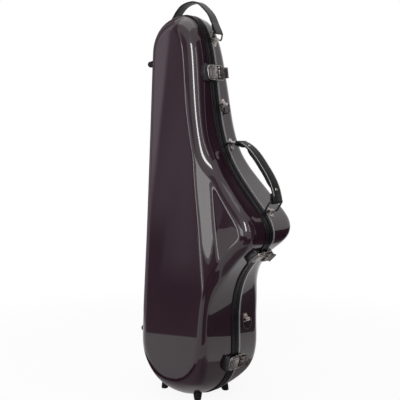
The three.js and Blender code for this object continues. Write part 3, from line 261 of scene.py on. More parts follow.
edging_rubber = rubber_finish("edging_rubber", 0.006, 0.26)
foot_rubber = rubber_finish("foot_rubber", 0.010, 0.6)
dark_nickel = metal_finish("dark_nickel", (0.17, 0.15, 0.145), (0.05, 0.044, 0.042), 0.22)
black_nickel = metal_finish("black_nickel", (0.06, 0.054, 0.053), (0.025, 0.022, 0.022), 0.14)
gray_nickel = metal_finish("gray_nickel", (0.34, 0.31, 0.30), (0.09, 0.08, 0.078), 0.3)
bright_nickel = metal_finish("bright_nickel", (0.50, 0.465, 0.44), (0.16, 0.145, 0.14), 0.3)
satin_nickel = metal_finish("satin_nickel", (0.66, 0.615, 0.58), (0.24, 0.22, 0.21), 0.42)
black_steel = metal_finish("black_steel", (0.022, 0.021, 0.026), (0.012, 0.011, 0.014), 0.3, 0.35)
strap_leather = leather_finish("strap_leather", 0.007, 0.42)
pad_leather = leather_finish("pad_leather", 0.007, 0.56)
plush = plush_finish("charcoal_plush", (0.020, 0.019, 0.024), (0.050, 0.047, 0.056))
thread = Finish("waxed_thread", (0.52, 0.50, 0.49), 0.6)
thread.set({"Roughness": 0.5 + thread.noise(300, 2) * 0.2})
# The raised lip is modelled, but its pale gray is a painted highlight: it stands for the light line that the
# rounded lacquered edge of the back shell shows.
lip_highlight_paint = Finish("edge_lip_painted_highlight", (0.20, 0.19, 0.205), 0.3)
lip_highlight_paint.set({"Roughness": 0.2 + lip_highlight_paint.noise(80, 2) * 0.12, "Coat Weight": 0.5})
print("finishes:", len(bpy.data.materials))

# %% [markdown]
# ## Floor, light and background
# The case stands on white studio paper in a white room. A gloss this deep is read by what it
# mirrors, so the light is built as a photographer would build it: the room itself is white, dark
# cards stand where a surface has to go dark, and strips draw the bright lines along the shoulders.
# The room is white to the eye and to mirrors, so no lamp is spent on it. The paper is nearly white to
# the eye, but under the case mirrors see a mid gray that turns white further out.

# %% Lay the paper
def new_object(name, mesh, material):
    """Turns a bmesh into an object of the scene with one material."""
    data = bpy.data.meshes.new(name)
    mesh.to_mesh(data)
    mesh.free()
    data.materials.append(material)
    made = bpy.data.objects.new(name, data)
    bpy.context.scene.collection.objects.link(made)
    return made


floor_radius, paper_radius, paper_edge = 9.0, 0.95, 0.3
mirrored_paper, seen_paper, unseen_light = 0.55, 0.91, 0.5
paper = Finish("studio_paper", (0.86, 0.86, 0.86), 0.9).set({"Specular IOR Level": 0.0})
kinds = paper.ray_kinds()
seen = sum(kinds)
far = paper.node("ShaderNodeVectorMath", {"operation": "LENGTH"}, {0: paper.spot}, out="Value")
edge = far.above(paper_radius, paper_edge)
glow_inputs = {"Color": (1, 1, 1, 1), "Strength": seen + (1 - seen) * unseen_light}
glow = paper.node("ShaderNodeEmission", None, glow_inputs)
near = mirrored_paper + kinds[0] * (seen_paper - mirrored_paper)
share = seen * (near + edge * (1 - near)) + (1 - seen) * edge
matt = Value(paper, paper.shader.outputs[0])
paper.surface(paper.node("ShaderNodeMixShader", None, {0: share, 1: matt, 2: glow}))
sweep = bmesh.new()
bmesh.ops.create_circle(sweep, cap_ends=True, segments=64, radius=floor_radius)
floor = new_object("studio_floor", sweep, paper.material)

# %% Paint the room
room = bpy.data.worlds.new("studio_room")
bpy.context.scene.world = room
room.use_nodes = True
walls = Nodes(room.node_tree)
brightness = unseen_light + sum(walls.ray_kinds()) * (1 - unseen_light)
walls.fill(walls.tree.nodes["Background"], {"Color": (1, 1, 1, 1), "Strength": brightness})


# %% Hang the strips and stand the cards
case_middle = Vector((0, 0, 0.5))


def studio_place(heading, distance, height):
    """A spot at a heading in degrees (0 is -Y, 90 is +X), a distance and a height."""
    turn = math.radians(heading)
    return Vector((math.sin(turn) * distance, -math.cos(turn) * distance, height))


def soft_box(name, place, size, strength):
    """An area lamp aimed at the case; the strength is the brightness that a mirror shows."""
    place = studio_place(*place)
    lamp = bpy.data.lights.new(name, "AREA")
    lamp.shape = "RECTANGLE"
    lamp.size, lamp.size_y = size
    lamp.energy = strength * size[0] * size[1] * math.pi
    holder = bpy.data.objects.new(name, lamp)
    holder.location = place
    holder.rotation_euler = (case_middle - place).to_track_quat("-Z", "Y").to_euler()
    bpy.context.scene.collection.objects.link(holder)
    return holder


def shaded_left(paint, tone):
    """Gives a card a pale band along its left edge at the top and lets its lower end go dark."""
    leftwards, upwards = paint.along(0) * -1, paint.along(1)
    pale = paint.tint(leftwards.above(0.262, 0.022) * upwards.above(-0.24, 0.1), tone, (1.25, 1.1, 1.2))
    low, corner = 1 - upwards.above(-0.383, 0.035), 1 - upwards.above(-0.3, 0.05)
    dark = low.math("MAXIMUM", low, leftwards.above(0.11, 0.025) * corner)
    return paint.tint(dark, pale, (0.15, 0.105, 0.13))


mottle_scale, darkest, palest = 2.2, 0.6, 1.4


def dark_card(name, place, size, tone, flat=False, shading=None):
    """A card that only mirrors see: it darkens a reflection, a little unevenly, and takes no light."""
    paint = Finish(name, (0, 0, 0), 1.0)
    uneven = paint.noise(mottle_scale, 1).above(0.5, 0.22)
    color = paint.tint(uneven, [t * darkest for t in tone], [t * palest for t in tone])
    color = shading(paint, color) if shading else color
    shine = paint.node("ShaderNodeEmission", None, {"Color": color, "Strength": 1.0})
    paint.surface(shine)
    mesh = bmesh.new()
    bmesh.ops.create_grid(mesh, x_segments=1, y_segments=1, size=0.5)
    card = new_object(name, mesh, paint.material)
    card.location = studio_place(*place)
    card.rotation_euler = (0 if flat else math.radians(90), 0, math.radians(place[0]))
    card.scale = (*size, 1)
    card.visible_camera = card.visible_diffuse = card.visible_shadow = False
    return card


soft_boxes = [
    soft_box("strip_right", (38, 2.6, 1.98), (0.36, 1.25), 18.0),
    soft_box("strip_second", (66, 2.6, 1.9), (0.08, 1.2), 9.0),
    soft_box("strip_crease", (-27, 2.6, 0.75), (0.22, 1.9), 3.8),
    soft_box("box_front", (2, 2.6, 0.86), (1.0, 0.68), 3.4),
    soft_box("box_top", (0, 0.2, 3.6), (2.6, 2.6), 1.2),
]
cards = [
    dark_card("card_left", (-44, 0.9, 0.9), (0.36, 1.8), (0.36, 0.29, 0.345), False, shaded_left),
    dark_card("card_corner", (-77, 0.92, 0.9), (0.6, 1.8), (0.42, 0.35, 0.40)),
    dark_card("card_spine", (-108, 0.9, 0.9), (0.5, 1.8), (0.10, 0.09, 0.10)),
    dark_card("card_front", (-8, 2.4, 1.85), (1.3, 1.1), (0.35, 0.30, 0.33)),
    dark_card("card_side", (94, 1.35, 1.0), (0.9, 2.0), (0.20, 0.15, 0.17)),
    dark_card("card_right", (129, 1.25, 0.9), (0.5, 1.8), (0.02, 0.018, 0.02)),
    dark_card("card_floor", (122, 1.3, 0.002), (1.3, 1.3), (0.05, 0.045, 0.05), True),
    dark_card("card_low", (16, 1.3, 0.2), (1.3, 0.4), (0.12, 0.08, 0.09)),
    dark_card("card_flank", (125, 0.37, 0.235), (0.5, 0.33), (0.05, 0.04, 0.045)),
    dark_card("card_crease", (54, 0.38, 0.2), (0.3, 0.25), (0.16, 0.11, 0.13)),
    dark_card("card_bulge", (-34.5, 2.9, 0.82), (0.5, 0.92), (0.12, 0.09, 0.10)),
    dark_card("card_arc", (-47, 0.235, 0.003), (0.5, 0.13), (0.03, 0.02, 0.025), True),
    dark_card("card_under", (-47, 0.0, 0.002), (0.7, 0.36), (0.3, 0.28, 0.29), True),
    dark_card("card_roof", (146, 0.95, 1.62), (0.8, 0.8), (0.04, 0.038, 0.04), True),
]
print("lamps:", len(soft_boxes), "cards:", len(cards))

# %% [markdown]
# ## Sizes of the case
# The shells, their edging and every fitting are placed from the same few sizes as the mechanical
# model. All sums are in millimetres, with the spine at x = 0, the rim plane at y = 0 and the floor
# at z = 0, and one matrix carries the finished work into the frame.

# %% Write down the sizes
MM = 0.001
shell_width, shell_height, ground_gap = 309.0, 831.0, 3.0
shell_wall, shell_edge, seam_gap = 3.5, 4.0, 1.5
lid_depth_top, lid_depth_bottom, back_depth = 45.0, 105.0, 91.0
shoulder_radius, spine_radius, bulge_radius, back_radius = 38.0, 35.0, 26.0, 26.0
valley_step, bell_crown, bell_crown_reach, flank_width = 20.0, 7.0, 95.0, 52.0
wall_draft = math.radians(3)
edging_proud, gasket_lap = 2.2, 0.15
crease_low, crease_high, bell_middle = (0.69, 0.21), (0.362, 0.86), (0.66, 0.44)
core_low, core_high = (0.35, 0.14), (0.22, 0.89)

rim_knots = [
    (0, 0.135, 90), (0, 0.909, 90), (0.233, 1, 0), (0.466, 0.88, -80), (0.592, 0.657, -67),
    (0.848, 0.531, -46.5), (1, 0.444, -90), (0.877, 0.384, -133), (0.773, 0.336, -120),
    (0.7055, 0.255, -97), (0.702, 0.15, -90), (0.35, 0, 180),
]
back_depth_stops = [
    (0, 1), (0.48, 1), (0.553, 0.92), (0.63, 0.74), (0.7, 0.69), (0.78, 0.68), (0.88, 0.6),
    (0.94, 0.56), (1, 0.54),
]
back_spine_stops = [(0, 3), (0.03, 2.4), (0.055, 1.3), (0.08, 1), (0.6, 1), (0.65, 0.85), (1, 0.85)]
back_bell_stops = [
    (0, 3), (0.03, 2.4), (0.055, 1.3), (0.08, 1), (0.25, 1), (0.28, 1.3), (0.32, 2), (0.36, 2.5),
    (0.4, 2.6), (0.43, 1.6), (0.47, 0.65), (0.56, 0.65), (0.65, 0.85), (1, 0.85),
]
spine_radius_stops = [
    (0, 2.5), (0.03, 2.3), (0.07, 1.7), (0.12, 1.15), (0.18, 1), (0.45, 0.95), (0.7, 0.77),
    (0.88, 0.62), (1, 0.62),
]
right_shoulder_stops = [(0, 1.05), (0.12, 0.6), (0.22, 0.4), (0.5, 0.66), (0.78, 0.95), (1, 1)]
valley_stops = [(0.08, 0), (0.2, 0.35), (0.3, 0.85), (0.44, 1), (0.58, 0.8), (0.7, 0.25), (0.8, 0)]

spine_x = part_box("lid_shell")[0].x
rim_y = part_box("lid_rim_trim")[1].y + seam_gap * MM
to_frame = Matrix.Translation((spine_x, rim_y, 0)) @ Matrix.Scale(MM, 4)
print("spine at", round(spine_x, 4), "rim plane at", round(rim_y, 4))

# %% [markdown]
# ## The rim line
# Seen from the lid the rim runs up the straight spine, over the narrow top, down the neck side,
# round the bell and back under the bottom arch. It is one chain of smooth curves, each fixed by two
# places and the headings there. Points are taken in pairs of equal height, one on the spine side and
# one on the bell side, so that surfaces laid over the case later meet neatly along its middle.


# %% Draw the rim
def shell_point(width_share, height_share):
    return Vector((width_share * shell_width, ground_gap + height_share * shell_height))


def rim_chain(first, last):
    """The rim from one knot to another, in 160 steps between neighbours."""
    steps, points = 160, []
    for index in range(first, last):
        near = rim_knots[index % len(rim_knots)]
        after = rim_knots[(index + 1) % len(rim_knots)]
        start, end = shell_point(*near[:2]), shell_point(*after[:2])
        leave, arrive = math.radians(near[2]), math.radians(after[2])
        turn = math.atan2(math.sin(arrive - leave), math.cos(arrive - leave))
        reach = (end - start).length / (3 * math.cos(turn / 4) ** 2)
        one = start + Vector((math.cos(leave), math.sin(leave))) * reach
        two = end - Vector((math.cos(arrive), math.sin(arrive))) * reach
        points += [tuple(p) for p in interpolate_bezier(start, one, two, end, steps)[:-1]]
    points.append(tuple(end))
    return np.array(points)


top_knot, bottom_knot = 2, 11
spine_chain = rim_chain(bottom_knot, top_knot + len(rim_knots))
bell_chain = rim_chain(top_knot, bottom_knot)[::-1]


def lengths(chain):
    """The length of a chain up to each of its points."""
    steps = np.hypot(*np.diff(chain, axis=0).T)
    return np.concatenate([[0], np.cumsum(steps)])


pair_count, height_count = 170, 4001
turns = np.linspace(0, np.pi, height_count)
heights = ground_gap + shell_height * (1 - np.cos(turns)) / 2
travel = sum(
    np.interp(heights, chain[:, 1], lengths(chain)) / lengths(chain)[-1]
    for chain in (spine_chain, bell_chain)
)
pair_heights = np.interp(np.linspace(0, travel[-1], pair_count + 1), travel, heights)


def chain_points(chain):
    along = np.interp(pair_heights, chain[:, 1], lengths(chain))
    return np.stack([np.interp(along, lengths(chain), chain[:, axis]) for axis in (0, 1)], 1)


rim = np.concatenate([chain_points(spine_chain), chain_points(bell_chain)[-2:0:-1]])
rim_next, rim_before = np.roll(rim, -1, 0), np.roll(rim, 1, 0)
along_rim = (rim_next - rim_before) / np.hypot(*(rim_next - rim_before).T)[:, None]
inward = np.stack([along_rim[:, 1], -along_rim[:, 0]], 1)
print("rim points:", len(rim), "rim length:", round(float(lengths(rim)[-1])), "mm")

# %% [markdown]
# ## The moulded form
# A mould for such a shell has drafted walls, a rounded shoulder and a nearly flat face. So the depth
# at any spot follows from its distance to the rim: up the wall, round an arc, then level. On the
# lid the face tapers towards the top, and right of a slanting crease it rolls down to the lower
# bulge over the bell.


# %% State the laws of the form
def at_share(stops, share, spread=0.03):
    """A value between stops along the height, with the kinks at the stops evened out."""
    xs, ys = zip(*stops)
    return sum(np.interp(share + spread * o, xs, ys) for o in (-1, -0.5, 0, 0.5, 1)) / 5


def smooth(value, low, high):
    """Goes from 0 to 1 with level ends."""
    t = np.clip((value - low) / (high - low), 0, 1)
    return t * t * (3 - 2 * t)


def smoother(value, low, high):
    """The same with ends that also start and stop bending gently."""
    t = np.clip((value - low) / (high - low), 0, 1)
    return t**3 * (t * (6 * t - 15) + 10)


def rim_distance(x, z):
    """How far each place is from the nearest stretch of the rim, worked out in batches."""
    spots = np.stack([x.ravel(), z.ravel()], 1)
    start, way = rim, rim_next - rim
    least = np.empty(len(spots))
    for low in range(0, len(spots), 4000):
        gap = spots[low : low + 4000, None] - start[None]
        share = np.clip((gap * way).sum(2) / (way**2).sum(1), 0, 1)
        least[low : low + 4000] = np.hypot(*np.moveaxis(gap - share[..., None] * way, 2, 0)).min(1)
    return least.reshape(x.shape)


def moulded(distance, rise, radius):
    """The depth of a wall, a round shoulder and a level face, by the distance to the rim."""
    straight = rise - radius
    run = (straight - shell_edge) * math.tan(wall_draft)
    on_wall = shell_edge + (straight - shell_edge) * np.clip(distance / run, 0, 1)
    over = np.clip(distance - run, 0, radius)
    shoulder = np.sqrt(np.maximum(radius**2 - (radius - over) ** 2, 0))
    return np.where(distance < run, on_wall, straight + shoulder)


def line_x(low, high, z):
    """Where a slanting line through two places of the shell lies at a height."""
    (low_x, low_z), (high_x, high_z) = shell_point(*low), shell_point(*high)
    return low_x + (z - low_z) / (high_z - low_z) * (high_x - low_x)


def lid_depth(x, z):
    share = (z - ground_gap) / shell_height
    distance = rim_distance(x, z)
    crease = line_x(crease_low, crease_high, z)
    left = spine_radius * at_share(spine_radius_stops, share)
    bottom = left * (1 - smooth(share, 0, 0.117))
    right = np.maximum(shoulder_radius * at_share(right_shoulder_stops, share), bottom)
    radius = left + (right - left) * smooth(x, 0, crease)
    rise = lid_depth_bottom + (lid_depth_top - lid_depth_bottom) * share
    bell = shell_point(*bell_middle)
    crown = bell_crown * np.exp(-((x - bell.x) ** 2 + (z - bell.y) ** 2) / bell_crown_reach**2)
    full = at_share(valley_stops, share)
    bulge = moulded(distance, rise - valley_step * full + crown * full, bulge_radius)
    roll = smoother(x, crease, crease + flank_width) * np.minimum(1, full * 2)
    ridge = moulded(distance, rise, radius)
    return ridge + (bulge - ridge) * roll


def back_depth_at(x, z):
    share = (z - ground_gap) / shell_height
    to_bell = smooth(x, shell_width * 0.35, shell_width * 0.65)
    spine_side, bell_side = at_share(back_spine_stops, share, 0.015), at_share(back_bell_stops, share, 0.015)
    radius = back_radius * (spine_side + (bell_side - spine_side) * to_bell)
    return moulded(rim_distance(x, z), back_depth * at_share(back_depth_stops, share), radius)


# %% [markdown]
# ## Laying a skin over the form
# A flat grid is laid over the case: one way runs round the rim, the other from the rim to a core
# line in the middle. The rows crowd together where the profile bends, so the shoulder is truly
# round and the level face costs little. The seam and the middle are closed by merging doubles.


# %% Find where the rows of the grid lie
skin_rows, fine_rows, crowding = 54, 160, 1.7
bend_weight, plain_step, evening_rounds = 1.3, 70, 60


def row_places(depth_at):
    """The rows lie closer where the profile bends; evening them keeps neighbours in line."""
    low, high = shell_point(*core_low), shell_point(*core_high)
    level = np.clip(rim[:, 1], low.y, high.y)
    core = np.stack([low.x + (level - low.y) / (high.y - low.y) * (high.x - low.x), level], 1)
    way = core - rim
    fine = np.linspace(0, 1, fine_rows + 1)[None] ** crowding
    x = rim[:, :1] + way[:, :1] * fine
    z = rim[:, 1:] + way[:, 1:] * fine
    depth = depth_at(x, z)
    run = np.diff(np.hypot(*way.T)[:, None] * fine, axis=1)
    rise = np.diff(depth, axis=1)
    heading = np.arctan2(rise, run)
    bend = np.abs(np.diff(heading, axis=1, prepend=heading[:, :1]))
    measure = np.cumsum(bend * bend_weight + np.hypot(rise, run) / plain_step, axis=1)
    measure = np.concatenate([np.zeros((len(rim), 1)), measure], 1)
    wanted = np.linspace(0, 1, skin_rows + 1)
    share = np.stack([np.interp(wanted * m[-1], m, fine[0]) for m in measure])
    for _ in range(evening_rounds):
        share = (np.roll(share, 1, 0) + 2 * share + np.roll(share, -1, 0)) / 4
    x, z = (rim[:, k : k + 1] + way[:, k : k + 1] * share for k in (0, 1))
    return x, depth_at(x, z), z


def looped_grid(columns, rows, place_of, close_rows=False):
    """A grid wrapped into a loop; place_of(column, row) gives each corner in millimetres."""
    mesh = bmesh.new()
    bmesh.ops.create_grid(mesh, x_segments=columns, y_segments=rows, size=1)
    for corner in mesh.verts:
        column = round((corner.co.x + 1) / 2 * columns) % columns
        row = round((corner.co.y + 1) / 2 * rows)
        corner.co = place_of(column, row % rows if close_rows else row)
    bmesh.ops.remove_doubles(mesh, verts=mesh.verts, dist=1e-4)
    bmesh.ops.recalc_face_normals(mesh, faces=mesh.faces)
    return mesh


# %% [markdown]
# ## Finishing a piece
# Every piece ends the same way: it is carried into the frame, its faces are turned outwards and
# edges sharper than a given angle stay crisp. It rides on the same body as the plain solid that it
# stands for or that it is fixed beside.


# %% Turn meshes into finished pieces
pieces = []


def finished(name, mesh, material, nodes=(), beside=None, place=Matrix(), crisp=38):
    """A piece that stands for plain nodes, or that only rides beside one."""
    bmesh.ops.transform(mesh, matrix=to_frame @ place, verts=mesh.verts)
    bmesh.ops.recalc_face_normals(mesh, faces=mesh.faces)
    piece = new_object(name, mesh, material)
    piece.data.shade_smooth()
    if crisp:
        piece.data.set_sharp_from_angle(angle=math.radians(crisp))
    host = frame["nodes"][beside or nodes[0]]
    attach(piece, host["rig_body"])
    if nodes:
        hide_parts(*nodes)
    pieces.append(name)
    return piece


def tell(*starts):
    """Prints how many finished pieces have names that start so."""
    print({start: sum(name.startswith(start) for name in pieces) for start in starts})


# %% [markdown]
# ## The two moulded shells
# On the real case each shell is one moulding of even wall. Here the outer skin comes from the laws
# above, and a Solidify modifier gives it the 3.5 mm wall inwards and closes it along the rim.


# %% Mould the shells
def moulding(name, side, depth_at, node):
    x, depth, z = row_places(depth_at)
    depth[:, 0] = shell_edge
    mesh = looped_grid(len(rim), skin_rows, lambda i, k: (x[i, k], side * depth[i, k], z[i, k]))
    shell = finished(name, mesh, lacquer.material, (node,), crisp=0)
    thickness = shell.modifiers.new("wall", "SOLIDIFY")
    thickness.thickness = shell_wall * MM
    thickness.offset = -1
    print(name, len(shell.data.polygons), "faces")


moulding("lid_moulding", -1, lid_depth, "lid_shell")
moulding("back_moulding", 1, back_depth_at, "back_shell")

# %% [markdown]
# ## Edging, gasket and lip
# Extruded rubber edging is pushed over the raw edge of each shell. Its outside has two shallow
# grooves, so that it bends round the curves without kinking. A gasket lies in the seam, and the
# back shell has a narrow raised lip beside its edging, painted pale gray all the way round: a
# painted highlight that stands for the thin light line along the shell's rounded edge.


# %% Run the edging round the rim
def rim_band(name, section, material, nodes=(), beside=None):
    """A section of (outward, depth) points carried all round the rim."""
    def corner(i, k):
        outward, depth = section[k]
        x, z = rim[i] - inward[i] * outward
        return x, depth, z

    mesh = looped_grid(len(rim), len(section), corner, close_rows=True)
    finished(name, mesh, material, nodes, beside, crisp=30)


groove = [(2.2, 0), (1.95, 0.3), (1.3, 0.45), (1.3, 0.9), (1.95, 1.05), (2.2, 1.35)]
edging_outline = [
    (-3.5, gasket_lap), (1.3, gasket_lap), (1.9, 0.35), (2.2, 0.9),
    *((outward, start + depth) for start in (3.1, 7.2) for outward, depth in groove),
    (2.2, 9.9), (1.9, 10.6), (1.2, 11), (0.05, 11), (0.05, 3.85), (-3.5, 3.85),
]
lid_outline = [
    (outward, -max(depth, gasket_lap) - (seam_gap - gasket_lap) * (depth < 3))
    for outward, depth in edging_outline
]
rim_band("lid_edging", lid_outline, edging_rubber, ("lid_rim_trim",))
rim_band("back_edging", edging_outline, edging_rubber, ("back_rim_trim",))
gasket_section = [(-3.0, -gasket_lap), (0.7, -gasket_lap), (1.0, -0.5), (0.7, -1.1), (-3.0, -1.1)]
rim_band("rim_gasket", gasket_section, edging_rubber, ("rim_seal",))
lip_section = [
    (-1.5, 11.3), (0.7, 11.3), (1.25, 11.7), (1.45, 12.4), (1.45, 14.9), (1.25, 15.7), (0.7, 16.2),
    (-1.5, 16.2),
]
# The back lip is painted pale gray as a painted highlight along the seam.
rim_band("back_lip", lip_section, lip_highlight_paint.material, beside="back_shell")
tell("lid_edging", "back_edging", "rim_gasket", "back_lip")

# %% [markdown]
# ## Small tools for the fittings
# The fittings sit on walls that lean every way, so each is modelled in its own axes: x out of the
# wall, y in the depth of the case and z along the rim. A plate is an outline that is extruded, a
# wire is a bevelled curve, and a dome is a spun profile.


# %% Lay axes on a wall
def axes(origin, out):
    x, y = Vector(out).normalized(), Vector((0, 1, 0))
    turned = Matrix((x, y, x.cross(y))).transposed().to_4x4()
    return Matrix.Translation(origin) @ turned


# %% Cut plates, bend wires, spin domes
FLAT = Matrix(((0, 0, 1, 0), (1, 0, 0, 0), (0, 1, 0, 0), (0, 0, 0, 1)))
UPRIGHT = Matrix(((0, 1, 0, 0), (1, 0, 0, 0), (0, 0, -1, 0), (0, 0, 0, 1)))


def plate(mesh, outline, low, high, lay=FLAT, ease=0.3, steps=2):
    """An outline extruded from low to high. FLAT draws it in (y, z), UPRIGHT in (y, x)."""
    made = bmesh.new()
    face = made.faces.new([made.verts.new((a, b, low)) for a, b in outline])
    raised = bmesh.ops.extrude_face_region(made, geom=[face])["geom"]
    top = [v for v in raised if isinstance(v, bmesh.types.BMVert)]
    bmesh.ops.translate(made, vec=(0, 0, high - low), verts=top)
    bmesh.ops.recalc_face_normals(made, faces=made.faces)
    sharp = [e for e in made.edges if e.calc_face_angle(0) > math.radians(40)]
    bmesh.ops.bevel(made, geom=sharp, offset=ease, affect="EDGES", segments=steps, profile=0.5,
                    material=-1, clamp_overlap=True)
    bmesh.ops.transform(made, matrix=lay, verts=made.verts)
    add_to(mesh, made)


def add_to(mesh, made):
    """Adds one bmesh to another."""
    data = bpy.data.meshes.new("part")
    made.to_mesh(data)
    made.free()
    mesh.from_mesh(data)
    bpy.data.meshes.remove(data)


def rounded(left, bottom, right, top, radius):
    """The outline of a rectangle with round corners."""
    corners = [(right - radius, bottom + radius, -90), (right - radius, top - radius, 0),
               (left + radius, top - radius, 90), (left + radius, bottom + radius, 180)]
    return [spot for x, y, start in corners for spot in arc(x, y, radius, start, start + 90, 5)]


def arc(cx, cy, radius, start, end, steps=8):
    turns = [math.radians(start + (end - start) * k / steps) for k in range(steps + 1)]
    return [(cx + radius * math.cos(t), cy + radius * math.sin(t)) for t in turns]


def wire(mesh, path, radius, lay=Matrix(), sides=2, closed=True):
    """A round wire along a path, whose points may be flat, laid into place by a matrix."""
    curve = bpy.data.curves.new("wire", "CURVE")
    curve.dimensions = "3D"
    curve.bevel_depth = radius
    curve.bevel_resolution = sides
    curve.use_fill_caps = not closed
    line = curve.splines.new("POLY")
    line.points.add(len(path) - 1)
    for point, spot in zip(line.points, path):
        point.co = (*spot, 0, 1) if len(spot) == 2 else (*spot, 1)
    line.use_cyclic_u = closed
    holder = bpy.data.objects.new("wire", curve)
    bent = bmesh.new()
    bent.from_mesh(holder.to_mesh())
    bpy.data.objects.remove(holder)
    bmesh.ops.remove_doubles(bent, verts=bent.verts, dist=1e-4)
    bmesh.ops.recalc_face_normals(bent, faces=bent.faces)
    bmesh.ops.transform(bent, matrix=lay, verts=bent.verts)
    add_to(mesh, bent)


def dome(mesh, profile, origin, axis=(1, 0, 0), steps=24):
    """A profile of (radius, height) points spun round an axis through the origin."""
    made = bmesh.new()
    corners = [made.verts.new((radius, 0, level)) for radius, level in profile]
    line = [made.edges.new(pair) for pair in zip(corners, corners[1:])]
    bmesh.ops.spin(made, geom=corners + line, axis=(0, 0, 1), cent=(0, 0, 0), angle=math.tau,
                   steps=steps, use_merge=True, use_duplicate=False)
    bmesh.ops.remove_doubles(made, verts=made.verts, dist=1e-4)
    bmesh.ops.recalc_face_normals(made, faces=made.faces)
    turned = Vector((0, 0, 1)).rotation_difference(Vector(axis)).to_matrix().to_4x4()
    bmesh.ops.transform(made, matrix=Matrix.Translation(origin) @ turned, verts=made.verts)
    add_to(mesh, made)


def rivet(mesh, y, z, height, radius, rise):
    rounding = arc(0, 0, 1, 0, 90, 6)
    profile = [(radius, -2)] + [(radius * a, rise * b) for a, b in rounding]
    dome(mesh, [*profile, (0, -2)], (height, y, z), steps=18)


# %% [markdown]
# ## Reading places from the frame
# The frame knows where every joint and every plain solid is, so a fitting is never placed by eye:
# a latch is set under its own pivot, and a ring gets its direction from the solid it replaces.


# %% Read pivots and middles
joint_of = {joint["name"]: joint for joint in frame["joints"]}
to_case = to_frame.inverted()
two_levels, three_levels = ("upper", "lower"), ("upper", "middle", "lower")


def pivot(joint):
    return to_case @ Vector(joint_of[joint]["pos_m"])


def middle_of(node):
    low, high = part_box(node)
    return to_case @ ((low + high) / 2)


def seat_axes(spot, height, depth=0.0):
    """Axes on the wall below a place that stands a given height above it."""
    gaps = np.hypot(*(rim - inward * height - (spot.x, spot.z)).T)
    near = int(np.argmin(gaps))
    after = (near + 1) % len(rim)
    beside = after if gaps[after] < gaps[near - 1] else near - 1
    share = gaps[near] / (gaps[near] + gaps[beside])
    into = inward[near] * (1 - share) + inward[beside] * share
    out = Vector((-into[0], 0, -into[1])).normalized()
    foot = spot - out * height
    return axes((foot.x, depth, foot.z), out)


def ring_axes(node):
    """Axes on the pivot of a ring, with x towards its far side."""
    start = pivot(f"{node}_swing")
    way = middle_of(node) - start
    return axes(start, (way.x, 0, way.z))


# %% [markdown]
# ## Linings
# Inside each shell lies moulded foam covered in plush. The plain solid has sharp facets, so a
# merged copy is remeshed into small even cells and smoothed, which rounds every pocket edge the way
# a thick cover does.


# %% Upholster the linings
cell_size, evening_share, evening_times = 4.2, 0.6, 5


def copy_of(node):
    """A copy of a plain solid, whose loose triangles are merged first."""
    mesh = bmesh.new()
    mesh.from_mesh(frame["nodes"][node].data)
    bmesh.ops.remove_doubles(mesh, verts=mesh.verts, dist=1e-6)
    return mesh


def lining(name, node):
    foam = finished(name, copy_of(node), plush, (node,), place=to_case, crisp=0)
    cells = foam.modifiers.new("cells", "REMESH")
    cells.mode = "VOXEL"
    cells.voxel_size = cell_size * MM
    evening = foam.modifiers.new("evening", "SMOOTH")
    evening.factor = evening_share
    evening.iterations = evening_times
    shown = foam.evaluated_get(bpy.context.evaluated_depsgraph_get())
    data = bpy.data.meshes.new_from_object(shown)
    foam.modifiers.clear()
    foam.data = data
    foam.data.shade_smooth()
    foam.data.materials.clear()
    foam.data.materials.append(plush)
    print(name, len(foam.data.polygons), "faces")


lining("lid_padding", "lid_lining")
lining("base_padding", "base_lining")

# %% [markdown]
# ## Hinges
# Three knuckle hinges join the shells on the spine. Their plain solids already have the right
# knuckles and bores, so a copy is cleaned of loose facets, its edges are broken with a bevel as
# tumbled steel has them, and three dome rivets are added to each leaf.


# %% Break the edges of a copied solid
def eased_copy(node, width):
    """A copy of a plain solid with its loose facets joined and its edges broken."""
    mesh = copy_of(node)
    bmesh.ops.dissolve_limit(mesh, angle_limit=math.radians(2), verts=mesh.verts, edges=mesh.edges)
    sharp = [edge for edge in mesh.edges if edge.calc_face_angle(0) > math.radians(35)]
    bmesh.ops.bevel(mesh, geom=sharp, offset=width * MM, affect="EDGES", segments=2, profile=0.5,
                    material=-1, clamp_overlap=True)
    bmesh.ops.transform(mesh, matrix=to_case, verts=mesh.verts)
    return mesh


# %% Fit the hinges
hinge_axis_out = edging_proud + 4.5
leaf_middle, leaf_face, rivet_places = 21.5, 3.0, (-16, 0, 16)
for level in three_levels:
    middle = middle_of(f"hinge_pin_{level}")
    place = seat_axes(middle, hinge_axis_out)
    for side, part in ((-1, "lid"), (1, "back")):
        node = f"hinge_{part}_leaf_{level}"
        leaf = eased_copy(node, 0.35)
        rivets = bmesh.new()
        for z in rivet_places:
            rivet(rivets, side * leaf_middle, z, leaf_face, radius=2.4, rise=1.1)
        bmesh.ops.transform(rivets, matrix=place, verts=rivets.verts)
        add_to(leaf, rivets)
        finished(f"hinge_{part}_{level}", leaf, black_steel, (node,))
    finished(f"hinge_rod_{level}", eased_copy(f"hinge_pin_{level}", 0.25), dark_nickel,
             (f"hinge_pin_{level}",))
tell("hinge")

# %% [markdown]
# ## Draw latches
# Each latch has a base with two ears and a dark lock button, a lever of bent sheet with cheeks and
# finger ribs, an oval wire bail with a stamped cover clipped over it, and a keeper with a lip and a
# thick rounded bolster on the lid. Bent sheet is drawn as a line and given its thickness, then
# extruded over the width of the latch.


# %% Give a line the thickness of sheet
def sheet_outline(line, thickness):
    """The outline of a sheet of this thickness that follows a line."""
    spots = np.array(line, float)
    way = np.gradient(spots, axis=0)
    way /= np.hypot(*way.T)[:, None]
    side = np.stack([-way[:, 1], way[:, 0]], 1) * thickness / 2
    return [tuple(p) for p in np.concatenate([spots + side, (spots - side)[::-1]])]


